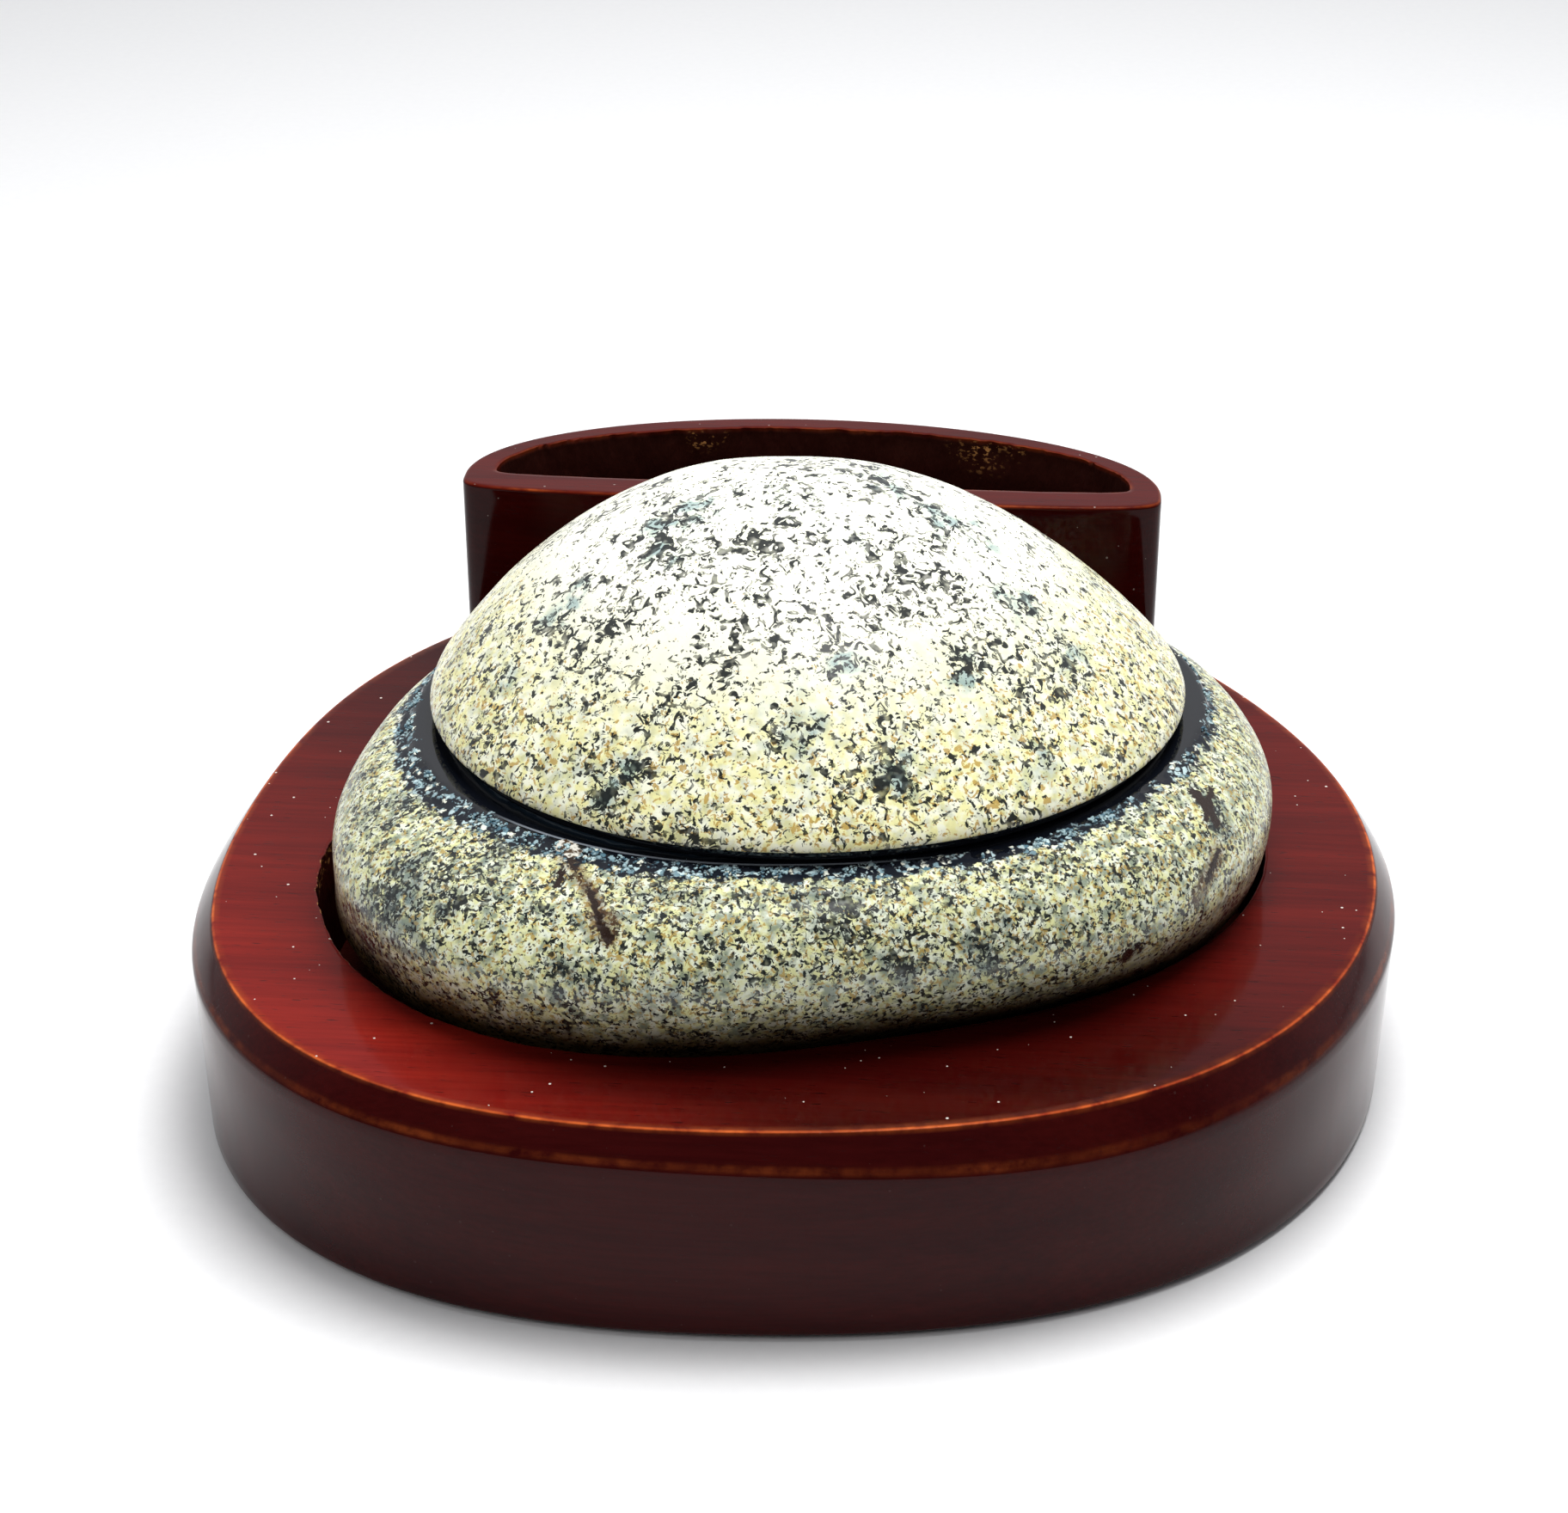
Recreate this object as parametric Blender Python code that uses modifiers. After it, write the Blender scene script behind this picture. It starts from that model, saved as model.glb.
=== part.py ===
"""A river pebble geode, cut and polished into two halves, on its lacquered wood stand.

The lower half is bedded in a recess of the plinth. The upper half rests on it as a lid,
and lifts off to stand on edge in the D-shaped socket behind.

Frame: origin under the middle of the plinth, on the surface it stands on. +Z up, +X along
the socket's flat front face, -Y towards the viewer. Sizes are metres, written as mm * MM.
"""

import math

import bmesh
import bpy
import numpy as np

MM = 0.001
GAP = 0.3 * MM                       # clearance between pieces that touch

# Outlines: reach from the outline's centre in equally spaced directions, from +X anticlockwise.
PLINTH_REACH = (100.6, 96, 99.3, 103.8, 100, 98, 98.3, 109, 110.8, 103, 105.3, 106)
SHOULDER_RISE = (31, 31, 31, 31, 31, 31, 31, 31.4, 31.4, 31, 28.9, 30.2)   # a hand-cut chamfer
CUT_REACH = (67, 65, 54, 60.5, 66, 65.5, 58.5, 60.5)       # lower half, edge of the polished cut
WAIST_REACH = (78, 74, 62, 65.5, 75, 81.5, 68, 70.5)       # lower half, widest line
FOOT_REACH = (76.5, 72, 58.5, 66.5, 77.5, 78, 62.5, 63.5)  # lower half, where it enters the wood
LID_REACH = (63.5, 61.5, 51.5, 59, 63.5, 59.3, 54.5, 57)   # upper half, lower edge of the skin
RECESS_PLAY = (0.8, 0.8, 0.8, 1.2, 2.6, 1.5, 0.8, 0.8)     # room around the bedded stone

# Plinth heights and edges.
PLINTH_BASE = 0.8 * MM               # lifted this far by the pads
PLINTH_TOP = 36.5 * MM
SHOULDER_INSET = 3.7 * MM            # how far the chamfer leans in
WALL_DRAFT = 0.8 * MM                # the wall leans in towards its foot
BASE_EASE = 0.8 * MM                 # eased lower edge
RECESS_FLOOR = 14.0 * MM

# Stones.
STONE_X = 1.6 * MM
STONE_Y = -14.3 * MM
CUT_Z = 63.0 * MM                    # plane of the polished cut
WAIST_Z = 48.0 * MM
STONE_BASE = RECESS_FLOOR + GAP
UNDERSIDE_DEPTH = 23.0 * MM          # half axis of the rounded underside, below the plinth top
FOOT_EASE = 8.0 * MM                 # length over which the flank's slope fades below the wood
LID_BASE = CUT_Z + GAP
SKIN_EDGE = 65.5 * MM                # bottom of the lid's pale skin, above its dark margin
DOME_HEIGHT = 37.0 * MM
DOME_SHIFT = (-3.4 * MM, 6.0 * MM)   # the crown leans back and left
MARGIN_INSET = 1.2 * MM              # the dark margin stands in from the skin
EDGE_ROUND = (1.6 * MM, 4.0 * MM)    # rounding of the skin's lower edge: depth, height
HOLLOW_SHARE = 0.60                  # mouth of the geode hollow, as a share of the cut
LOWER_HOLLOW = 17.0 * MM             # depth below the cut
UPPER_HOLLOW = 19.0 * MM             # depth above the lid's face

# Lid socket: two half superellipses that meet on its widest line.
SOCKET_X = -3.9 * MM
SOCKET_Y = 61.1 * MM                 # widest line
SOCKET_HALF = 64.6 * MM
SOCKET_FRONT = 8.0 * MM              # from the widest line to the flat front
SOCKET_BACK = 31.3 * MM
SOCKET_TOP = 71.0 * MM
SOCKET_EASE = 0.7 * MM
POCKET_Y = 63.3 * MM
POCKET_HALF = 58.8 * MM
POCKET_FRONT = 2.8 * MM
POCKET_BACK = 23.8 * MM
POCKET_FLOOR = 45.0 * MM

# Pads and screws.
PAD_RADIUS = 9.0 * MM
PAD_THICK = 2.0 * MM
PAD_PLACES = ((-62, -62), (62, -62), (-52, 60), (50, 60))    # mm
SCREW_SPREAD = 32.0 * MM             # each screw from the socket's middle
SCREW_Y = 74.0 * MM
SCREW_HEAD = (3.6 * MM, 2.6 * MM)    # radius, height
SCREW_SEAT = 9.0 * MM                # counterbore's flat
SCREW_SHANK = 1.75 * MM
SCREW_SHOULDER = 40.4 * MM           # where the point begins
SCREW_TIP = 42.4 * MM

AROUND = 64                          # points round a stone, the recess and the socket
PLINTH_AROUND = 96

COLORS = {                           # base colour, roughness, metallic
    "lacquered_wood": ((0.16, 0.012, 0.010), 0.18, 0.0),
    "socket_wood": ((0.13, 0.012, 0.010), 0.20, 0.0),
    "lower_skin": ((0.55, 0.54, 0.42), 0.30, 0.0),
    "upper_skin": ((0.72, 0.71, 0.58), 0.28, 0.0),
    "felt": ((0.03, 0.03, 0.03), 0.95, 0.0),
    "screw_metal": ((0.62, 0.48, 0.24), 0.35, 1.0),
}


def clear_scene():
    """Starts from nothing."""
    for old in list(bpy.data.objects):
        bpy.data.objects.remove(old)


def new_collection(name):
    """A collection linked to the scene."""
    made = bpy.data.collections.new(name)
    bpy.context.scene.collection.children.link(made)
    return made


def material(name):
    """A Principled BSDF with the finish's colour, roughness and metallic value."""
    color, roughness, metallic = COLORS[name]
    made = bpy.data.materials.new(name)
    made.use_nodes = True
    shader = made.node_tree.nodes["Principled BSDF"]
    shader.inputs["Base Color"].default_value = (*color, 1)
    shader.inputs["Roughness"].default_value = roughness
    shader.inputs["Metallic"].default_value = metallic
    return made


def angles(count):
    """Equally spaced directions round a full turn."""
    return np.linspace(0, 2 * math.pi, count, endpoint=False)


def smooth_reach(reach_mm, turn):
    """The reach in each direction of turn: the smooth wave that passes through the given ones."""
    waves = np.fft.rfft(np.array(reach_mm) * MM) / len(reach_mm)
    order = np.arange(len(waves))
    share = np.where((order == 0) | (2 * order == len(reach_mm)), 1, 2)
    return ((share * waves)[None, :] * np.exp(1j * np.outer(turn, order))).real.sum(1)


def ring(reach, turn, height, centre=(0.0, 0.0)):
    """Points at the given reach round a centre, all at one height."""
    x = centre[0] + reach * np.cos(turn)
    y = centre[1] + reach * np.sin(turn)
    return np.column_stack([x, y, np.full(len(turn), height)])


def finish_object(obj, finish, collection, smooth_deg=40):
    """Puts an object in its collection with its material and smooth shading."""
    for holder in list(obj.users_collection):
        holder.objects.unlink(obj)
    collection.objects.link(obj)
    obj.data.materials.clear()
    if finish:
        obj.data.materials.append(material(finish))
        obj.data.shade_smooth()
        obj.data.set_sharp_from_angle(angle=math.radians(smooth_deg))
    else:
        obj.hide_render = True
        obj.display_type = "WIRE"
    return obj


def loft(name, rings, finish, collection):
    """One closed solid through rings of equal count, from the first to the last, each end capped."""
    count = len(rings[0])
    made = bmesh.new()
    rows = [[made.verts.new(point) for point in row] for row in rings]
    for low, high in zip(rows, rows[1:]):
        for i in range(count):
            j = (i + 1) % count
            made.faces.new((low[i], low[j], high[j], high[i]))
    made.faces.new(rows[0][::-1])
    made.faces.new(rows[-1])
    bmesh.ops.recalc_face_normals(made, faces=made.faces)
    mesh = bpy.data.meshes.new(name)
    made.to_mesh(mesh)
    made.free()
    return finish_object(bpy.data.objects.new(name, mesh), finish, collection)


def cylinder(name, radius, low, high, place, finish, collection, sides=32):
    """An upright cylinder from one height to another."""
    bpy.ops.mesh.primitive_cylinder_add(
        vertices=sides,
        radius=radius,
        depth=high - low,
        location=(place[0], place[1], (low + high) / 2),
    )
    made = bpy.context.object
    made.name = name
    return finish_object(made, finish, collection)


def cut(obj, cutter):
    """Takes the cutter's shape out of the object."""
    made = obj.modifiers.new(cutter.name, "BOOLEAN")
    made.operation = "DIFFERENCE"
    made.solver = "EXACT"
    made.object = cutter


def plinth_outline():
    """Directions and reach of the plinth's wall, with its box centred on the origin."""
    turn = angles(PLINTH_AROUND)
    flat = ring(smooth_reach(PLINTH_REACH, turn), turn, 0)[:, :2]
    flat -= (flat.max(0) + flat.min(0)) / 2
    return flat


def inset(flat, depth):
    """The outline moved inwards, square to itself."""
    ahead = np.roll(flat, -1, 0) - np.roll(flat, 1, 0)
    ahead /= np.linalg.norm(ahead, axis=1)[:, None]
    return flat + depth * np.column_stack([-ahead[:, 1], ahead[:, 0]])


def lift(flat, height):
    """A flat outline set at a height, or each point at its own."""
    return np.column_stack([flat, np.broadcast_to(height, len(flat))])


def screw_places():
    """Where the two screws stand."""
    return [(SOCKET_X + side * SCREW_SPREAD, SCREW_Y) for side in (-1, 1)]


def build_plinth(parts, cutters):
    """The free-form base: upright wall, chamfered shoulder, recess, pad pockets, screw holes."""
    wall = plinth_outline()
    shoulder = smooth_reach(SHOULDER_RISE, angles(PLINTH_AROUND))
    rings = [
        lift(inset(wall, WALL_DRAFT + BASE_EASE), PLINTH_BASE),
        lift(inset(wall, WALL_DRAFT), PLINTH_BASE + BASE_EASE),
        lift(wall, shoulder),
        lift(inset(wall, SHOULDER_INSET), PLINTH_TOP),
    ]
    plinth = loft("plinth", rings, "lacquered_wood", parts)

    turn = angles(AROUND)
    room = smooth_reach(FOOT_REACH, turn) + smooth_reach(RECESS_PLAY, turn)
    above = PLINTH_TOP + 5 * MM
    heights = (RECESS_FLOOR, above)
    centre = (STONE_X, STONE_Y)
    recess = loft("recess_cutter", [ring(room, turn, z, centre) for z in heights], None, cutters)
    cut(plinth, recess)

    for number, (x, y) in enumerate(PAD_PLACES, 1):
        top = PAD_THICK + GAP
        place = (x * MM, y * MM)
        radius = PAD_RADIUS + GAP
        cut(plinth, cylinder(f"pad_cutter_{number}", radius, -5 * MM, top, place, None, cutters))

    for number, place in enumerate(screw_places(), 1):
        bore = cylinder(f"bore_cutter_{number}", SCREW_SHANK + GAP, 0, above, place, None, cutters, 20)
        wide = SCREW_HEAD[0] + 2 * GAP
        well = cylinder(f"well_cutter_{number}", wide, -5 * MM, SCREW_SEAT, place, None, cutters, 24)
        cut(plinth, bore)
        cut(plinth, well)
    return plinth


def d_outline(turn, half, front, back, middle, corner):
    """Two half superellipses on one widest line: a round back and a flat front with round corners."""
    power = np.where(np.sin(turn) < 0, 2 / corner, 1.0)
    depth = np.where(np.sin(turn) < 0, front, back)
    x = SOCKET_X + half * np.sign(np.cos(turn)) * np.abs(np.cos(turn)) ** power
    y = middle + depth * np.sign(np.sin(turn)) * np.abs(np.sin(turn)) ** power
    return np.column_stack([x, y])


def build_lid_socket(parts, cutters):
    """The D-shaped block behind the stone, with the open pocket that holds the lid on edge."""
    turn = angles(AROUND)
    outer = d_outline(turn, SOCKET_HALF, SOCKET_FRONT, SOCKET_BACK, SOCKET_Y, 5.0)
    base = PLINTH_TOP + GAP
    rings = [
        lift(outer, base),
        lift(outer, SOCKET_TOP - SOCKET_EASE),
        lift(inset(outer, SOCKET_EASE), SOCKET_TOP),
    ]
    socket = loft("lid_socket", rings, "socket_wood", parts)

    hollow = d_outline(turn, POCKET_HALF, POCKET_FRONT, POCKET_BACK, POCKET_Y, 4.0)
    heights = (POCKET_FLOOR, SOCKET_TOP + 5 * MM)
    cut(socket, loft("pocket_cutter", [lift(hollow, z) for z in heights], None, cutters))

    for number, place in enumerate(screw_places(), 1):
        top = SCREW_TIP + GAP
        low = base - 5 * MM
        radius = SCREW_SHANK + GAP
        cut(socket, cylinder(f"pilot_cutter_{number}", radius, low, top, place, None, cutters, 20))
    return socket


def lower_reach(turn, height):
    """Reach of the lower half at a height: full at the waist, drawn in to the cut and the foot."""
    top = smooth_reach(CUT_REACH, turn)
    waist = smooth_reach(WAIST_REACH, turn)
    foot = smooth_reach(FOOT_REACH, turn)
    if height >= WAIST_Z:
        share = (height - WAIST_Z) / (CUT_Z - WAIST_Z)
        return waist - (waist - top) * share**2
    run = WAIST_Z - PLINTH_TOP
    if height >= PLINTH_TOP:
        return waist - (waist - foot) * ((WAIST_Z - height) / run) ** 1.7
    down = PLINTH_TOP - height
    slope = 1.7 * (waist - foot) / run
    drawn = foot - slope * down * math.exp(-down / FOOT_EASE)
    return drawn * math.sqrt(1 - (down / UNDERSIDE_DEPTH) ** 2)


def bowl(mouth, turn, face, depth, steps=6):
    """Rings of a round hollow from its mouth to near its deepest point. Depth is signed."""
    centre = (STONE_X, STONE_Y)
    swing = np.linspace(0, 0.97, steps) * math.pi / 2
    return [ring(mouth * math.cos(a), turn, face + depth * math.sin(a), centre) for a in swing]


def build_lower_stone(parts):
    """The bedded half: a small flat to rest on, round flanks, a polished cut and a hollow."""
    turn = angles(AROUND)
    centre = (STONE_X, STONE_Y)
    deepest = math.asin((PLINTH_TOP - STONE_BASE) / UNDERSIDE_DEPTH)
    heights = list(PLINTH_TOP - UNDERSIDE_DEPTH * np.sin(np.linspace(deepest, 0, 7)))
    heights += list(np.linspace(PLINTH_TOP, WAIST_Z, 5)[1:])
    heights += list(np.linspace(WAIST_Z, CUT_Z, 7)[1:])
    rings = [ring(lower_reach(turn, z), turn, z, centre) for z in heights]
    mouth = HOLLOW_SHARE * smooth_reach(CUT_REACH, turn)
    rings += bowl(mouth, turn, CUT_Z, -LOWER_HOLLOW)
    return loft("lower_stone", rings, "lower_skin", parts)


def lid_reach(turn, rise):
    """Reach of the domed skin at a rise from 0 at its lower edge to 1 at the crown."""
    edge = smooth_reach(LID_REACH, turn)
    depth, height = EDGE_ROUND
    near = max(0.0, 1 - rise * DOME_HEIGHT / height)
    return edge * math.sqrt(1 - rise**1.1) - depth * (1 - math.sqrt(1 - near**2))


def build_upper_stone(parts):
    """The lid: a polished face round its hollow, a dark margin, and a domed skin."""
    turn = angles(AROUND)
    centre = (STONE_X, STONE_Y)
    edge = smooth_reach(LID_REACH, turn)
    face = edge - EDGE_ROUND[0] - MARGIN_INSET
    rings = bowl(HOLLOW_SHARE * face, turn, LID_BASE, UPPER_HOLLOW)[::-1]
    rings.append(ring(face, turn, LID_BASE, centre))
    rings.append(ring(face, turn, SKIN_EDGE - GAP, centre))
    for rise in np.sin(np.linspace(0, 0.955, 14) * math.pi / 2) ** 1.25:
        middle = (STONE_X + DOME_SHIFT[0] * rise, STONE_Y + DOME_SHIFT[1] * rise)
        rings.append(ring(lid_reach(turn, rise), turn, SKIN_EDGE + DOME_HEIGHT * rise, middle))
    return loft("upper_stone", rings, "upper_skin", parts)


def build_pads(parts):
    """Four round pads, let into the plinth's underside."""
    for number, (x, y) in enumerate(PAD_PLACES, 1):
        cylinder(f"foot_pad_{number}", PAD_RADIUS, 0, PAD_THICK, (x * MM, y * MM), "felt", parts)


def build_screws(parts, cutters):
    """Two screws up through the plinth into the socket: a turned profile and a driver slot."""
    head_radius, head_height = SCREW_HEAD
    under = SCREW_SEAT - GAP
    low = under - head_height
    profile = [
        (0, SCREW_TIP),
        (SCREW_SHANK, SCREW_SHOULDER),
        (SCREW_SHANK, under),
        (head_radius, under),
        (head_radius, low + 0.8 * MM),
        (head_radius - 0.8 * MM, low),
        (0, low),
    ]
    for number, place in enumerate(screw_places(), 1):
        mesh = bpy.data.meshes.new(f"socket_screw_{number}")
        edges = [(i, i + 1) for i in range(len(profile) - 1)]
        mesh.from_pydata([(r, 0, z) for r, z in profile], edges, [])
        screw = bpy.data.objects.new(mesh.name, mesh)
        screw.location = (*place, 0)
        turned = screw.modifiers.new("turned", "SCREW")
        turned.steps = turned.render_steps = 20
        turned.use_merge_vertices = True
        turned.merge_threshold = 0.00005
        finish_object(screw, "screw_metal", parts)
        bpy.ops.mesh.primitive_cube_add(size=1, location=(*place, low))
        slot = bpy.context.object
        slot.name = f"slot_cutter_{number}"
        slot.scale = (3 * head_radius, 0.9 * MM, 2.2 * MM)
        finish_object(slot, None, cutters)
        cut(screw, slot)


def main():
    clear_scene()
    parts = new_collection("geode_on_stand")
    cutters = new_collection("cutters")
    build_plinth(parts, cutters)
    build_lid_socket(parts, cutters)
    build_lower_stone(parts)
    build_upper_stone(parts)
    build_pads(parts)
    build_screws(parts, cutters)


main()
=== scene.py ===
"""Detailed surfaces and finishes for a pebble geode on its lacquered wood stand.

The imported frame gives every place. Lengths in this file are millimetres until a mesh is made.
"""

import math

import bpy
import numpy as np
from bpy.props import FloatProperty, FloatVectorProperty, PointerProperty
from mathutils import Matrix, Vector


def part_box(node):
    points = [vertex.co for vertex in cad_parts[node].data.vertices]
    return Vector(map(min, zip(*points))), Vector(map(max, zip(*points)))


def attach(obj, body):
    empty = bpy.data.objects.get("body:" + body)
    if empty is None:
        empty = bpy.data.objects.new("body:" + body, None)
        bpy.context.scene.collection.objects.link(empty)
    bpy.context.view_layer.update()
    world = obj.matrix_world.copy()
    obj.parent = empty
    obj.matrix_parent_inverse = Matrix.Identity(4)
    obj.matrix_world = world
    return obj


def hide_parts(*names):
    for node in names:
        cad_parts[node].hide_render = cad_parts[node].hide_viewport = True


bl_info = {
    "name": "Geode on a Wood Stand",
    "version": (1, 0, 0),
    "blender": (4, 5, 0),
    "location": "3D View > Sidebar > Geode",
    "description": "Builds the stones, wood, pads and screws of a pebble geode on its stand",
    "category": "Add Mesh",
}

MM = 0.001

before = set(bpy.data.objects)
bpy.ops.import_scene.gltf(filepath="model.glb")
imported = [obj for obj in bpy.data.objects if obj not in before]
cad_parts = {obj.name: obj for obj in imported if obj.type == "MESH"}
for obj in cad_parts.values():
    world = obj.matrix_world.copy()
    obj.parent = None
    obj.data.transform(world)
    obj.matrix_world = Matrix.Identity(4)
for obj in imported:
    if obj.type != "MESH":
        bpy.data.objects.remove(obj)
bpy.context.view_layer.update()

# Outlines: reach from the outline's centre in equally spaced directions, from +X anticlockwise.
# Rise, creep and play are given in such directions too: how high the plinth's wall goes, how far the
# skin and its crust creep in over the polished cut, and the recess's room round the stone's foot.
PLINTH_REACH = (100.6, 96, 99.3, 103.8, 100, 98, 98.3, 109, 110.8, 103, 105.3, 106)
SHOULDER_RISE = (31, 31, 31, 31, 31, 31, 31, 31.4, 31.4, 31, 28.9, 30.2)
CUT_REACH = (67, 65, 54, 60.5, 66, 65.5, 58.5, 60.5)
WAIST_REACH = (78, 74, 62, 65.5, 75, 81.5, 68, 70.5)
FOOT_REACH = (76.5, 72, 58.5, 66.5, 77.5, 78, 62.5, 63.5)
LID_REACH = (63.5, 61.5, 51.5, 59, 63.5, 59.3, 54.5, 57)
CREEP = (1.0, 0.4, 0.6, 0.8, 0.8, 0.7, 0.8, 0.8, 1.0, 1.8, 4.4, 5.4, 5.1, 4.1, 3.6, 3.1)
RECESS_PLAY = (0.8, 0.8, 0.8, 1.2, 2.6, 1.5, 0.8, 0.8)

# Shape of the plinth and the stones.
SHOULDER_INSET = 3.7
WALL_DRAFT = 0.8
BASE_EASE = 0.8
RECESS_FLOOR = 14.0
WAIST_Z = 48.0
UNDERSIDE_DEPTH = 23.0
FOOT_EASE = 8.0
SKIN_LIFT = 2.2                          # bottom of the lid's skin above its polished face
DOME_SHIFT = np.array([-3.4, 6.0])       # the crown, off the outlines' centre
MARGIN_INSET = 1.2                       # the lid's dark margin, in from its rounded lower edge
EDGE_ROUND = (1.6, 4.0)                  # depth and height of that rounding
HOLLOW_SHARE = 0.60                      # the hollow's mouth, as a share of the cut
LOWER_HOLLOW = 17.0
UPPER_HOLLOW = 19.0
WORN = 1.1                               # how far the cut's edge is worn down
WEAR_FADE = 5.0                          # and how far below the cut that wear fades out
DOME_HEIGHT = 37.0

# Shape of the lid socket.
SOCKET_FRONT = 8.0
SOCKET_BACK = 31.3
SOCKET_HALF = 64.6
SOCKET_EASE = 0.7
POCKET_AHEAD = 2.2                       # its widest line behind the socket's own
POCKET_HALF = 58.8
POCKET_FRONT = 2.8
POCKET_BACK = 23.8
POCKET_FLOOR = 45.0

# Fittings.
SCREW_HEAD = (3.6, 2.6)                  # radius, height
SCREW_SLOT = (0.45, 1.1)                 # half width, depth
SCREW_SEAT = 9.0
SCREW_SHANK = 1.75
SCREW_NECK = 0.86                        # radius of the plain neck, as a share of the shank's
THREAD_PITCH = 1.25
PAD_PLAY = 0.3
PAD_EASE = 0.35
BORE_START = -5.0                        # below the stand, so that bores open cleanly

# Fineness of the surfaces.
STONE_TURNS = 512
WOOD_TURNS = 640
NEAR_POLE = 0.985                        # the share of a quarter turn that rows cover before a pole
RELIEF_CELLS = 32                        # lattice cells before random relief repeats


def corner_mm(node, which):
    """A corner of a CAD node's box in mm: 0 the lowest, 1 the highest."""
    return np.array(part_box(node)[which]) / MM


def middle_mm(node):
    """The middle of a CAD node's box in mm."""
    return (corner_mm(node, 0) + corner_mm(node, 1)) / 2


PLINTH_BASE = corner_mm("plinth", 0)[2]
PLINTH_TOP = corner_mm("plinth", 1)[2]
STONE_BASE = corner_mm("lower_stone", 0)[2]
CUT_Z = corner_mm("lower_stone", 1)[2]
LID_BASE = corner_mm("upper_stone", 0)[2]
SKIN_EDGE = LID_BASE + SKIN_LIFT
SOCKET_BASE = corner_mm("lid_socket", 0)[2]
SOCKET_TOP = corner_mm("lid_socket", 1)[2]
SOCKET_X = middle_mm("lid_socket")[0]
SOCKET_Y = corner_mm("lid_socket", 0)[1] + SOCKET_FRONT


# ---------------------------------------------------------------- settings


class GeodeStoneSettings(bpy.types.PropertyGroup):
    """Sizes and colours of the two stones."""

    cream: FloatVectorProperty(
        name="Cream",
        description="Ground colour of the pebble's skin",
        default=(0.88, 0.85, 0.44),
        subtype="COLOR",
        min=0,
        max=1,
    )
    ochre: FloatVectorProperty(
        name="Ochre",
        description="Colour of the rusty grains in the skin",
        default=(0.50, 0.31, 0.055),
        subtype="COLOR",
        min=0,
        max=1,
    )
    fleck: FloatVectorProperty(
        name="Fleck",
        description="Colour of the dark mineral flecks",
        default=(0.010, 0.013, 0.015),
        subtype="COLOR",
        min=0,
        max=1,
    )
    cut: FloatVectorProperty(
        name="Cut",
        description="Colour of the polished dark margin",
        default=(0.004, 0.005, 0.008),
        subtype="COLOR",
        min=0,
        max=1,
    )
    fleck_size: FloatProperty(
        name="Fleck size",
        description="Typical width of a mineral fleck",
        default=1.15 * MM,
        min=0.2 * MM,
        max=4 * MM,
        subtype="DISTANCE",
        unit="LENGTH",
    )
    crystal_length: FloatProperty(
        name="Crystal length",
        description="Length of the longest crystals in the hollow",
        default=4.2 * MM,
        min=1 * MM,
        max=6 * MM,
        subtype="DISTANCE",
        unit="LENGTH",
    )


class GeodeWoodSettings(bpy.types.PropertyGroup):
    """Colours and wear of the lacquered wood."""

    light: FloatVectorProperty(
        name="Light grain",
        description="Lacquered colour of the light grain",
        default=(0.178, 0.009, 0.005),
        subtype="COLOR",
        min=0,
        max=1,
    )
    dark: FloatVectorProperty(
        name="Dark grain",
        description="Lacquered colour of the dark grain",
        default=(0.11, 0.005, 0.004),
        subtype="COLOR",
        min=0,
        max=1,
    )
    # Also the colour of the painted highlight along the edges.
    rub: FloatVectorProperty(
        name="Rubbed edge",
        description="Colour where the lacquer is rubbed through",
        default=(0.75, 0.16, 0.03),
        subtype="COLOR",
        min=0,
        max=1,
    )
    chip: FloatProperty(
        name="Recess chipping",
        description="Depth of the ragged chips round the carved recess",
        default=0.5 * MM,
        min=0,
        max=0.7 * MM,
        subtype="DISTANCE",
        unit="LENGTH",
    )


class GeodeStageSettings(bpy.types.PropertyGroup):
    """Light and camera."""

    key_watts: FloatProperty(
        name="Softbox",
        description="Power of the overhead softbox",
        default=9.3,
        min=0,
        unit="POWER",
    )
    lens_mm: FloatProperty(
        name="Lens",
        description="Focal length for a 36 mm wide film",
        default=76.52,
        min=20,
        max=300,
    )
    camera_place: FloatVectorProperty(
        name="Camera",
        description="Where the camera stands",
        default=(0.0367, -0.5049, 0.316),
        subtype="TRANSLATION",
        unit="LENGTH",
    )
    camera_tilt: FloatVectorProperty(
        name="Camera turn",
        description="The camera's rotation",
        default=(math.radians(61.95), 0, math.radians(4.6)),
        subtype="EULER",
        unit="ROTATION",
    )


# ---------------------------------------------------------------- numbers and surfaces


def angles(count):
    """Equally spaced directions round a full turn."""
    return np.linspace(0, 2 * math.pi, count, endpoint=False)


def smooth_reach(reach, turn):
    """Reach in each direction: the sum of waves round the turn that passes through the given reaches."""
    waves = np.fft.rfft(np.array(reach)) / len(reach)
    order = np.arange(len(waves))
    share = np.where((order == 0) | (2 * order == len(reach)), 1, 2)
    return ((share * waves)[None, :] * np.exp(1j * np.outer(turn, order))).real.sum(1)


def smoothstep(value, low, high):
    """0 below low, 1 above high, and 3t^2 - 2t^3 between them."""
    share = np.clip((value - low) / (high - low), 0, 1)
    return share * share * (3 - 2 * share)


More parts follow.
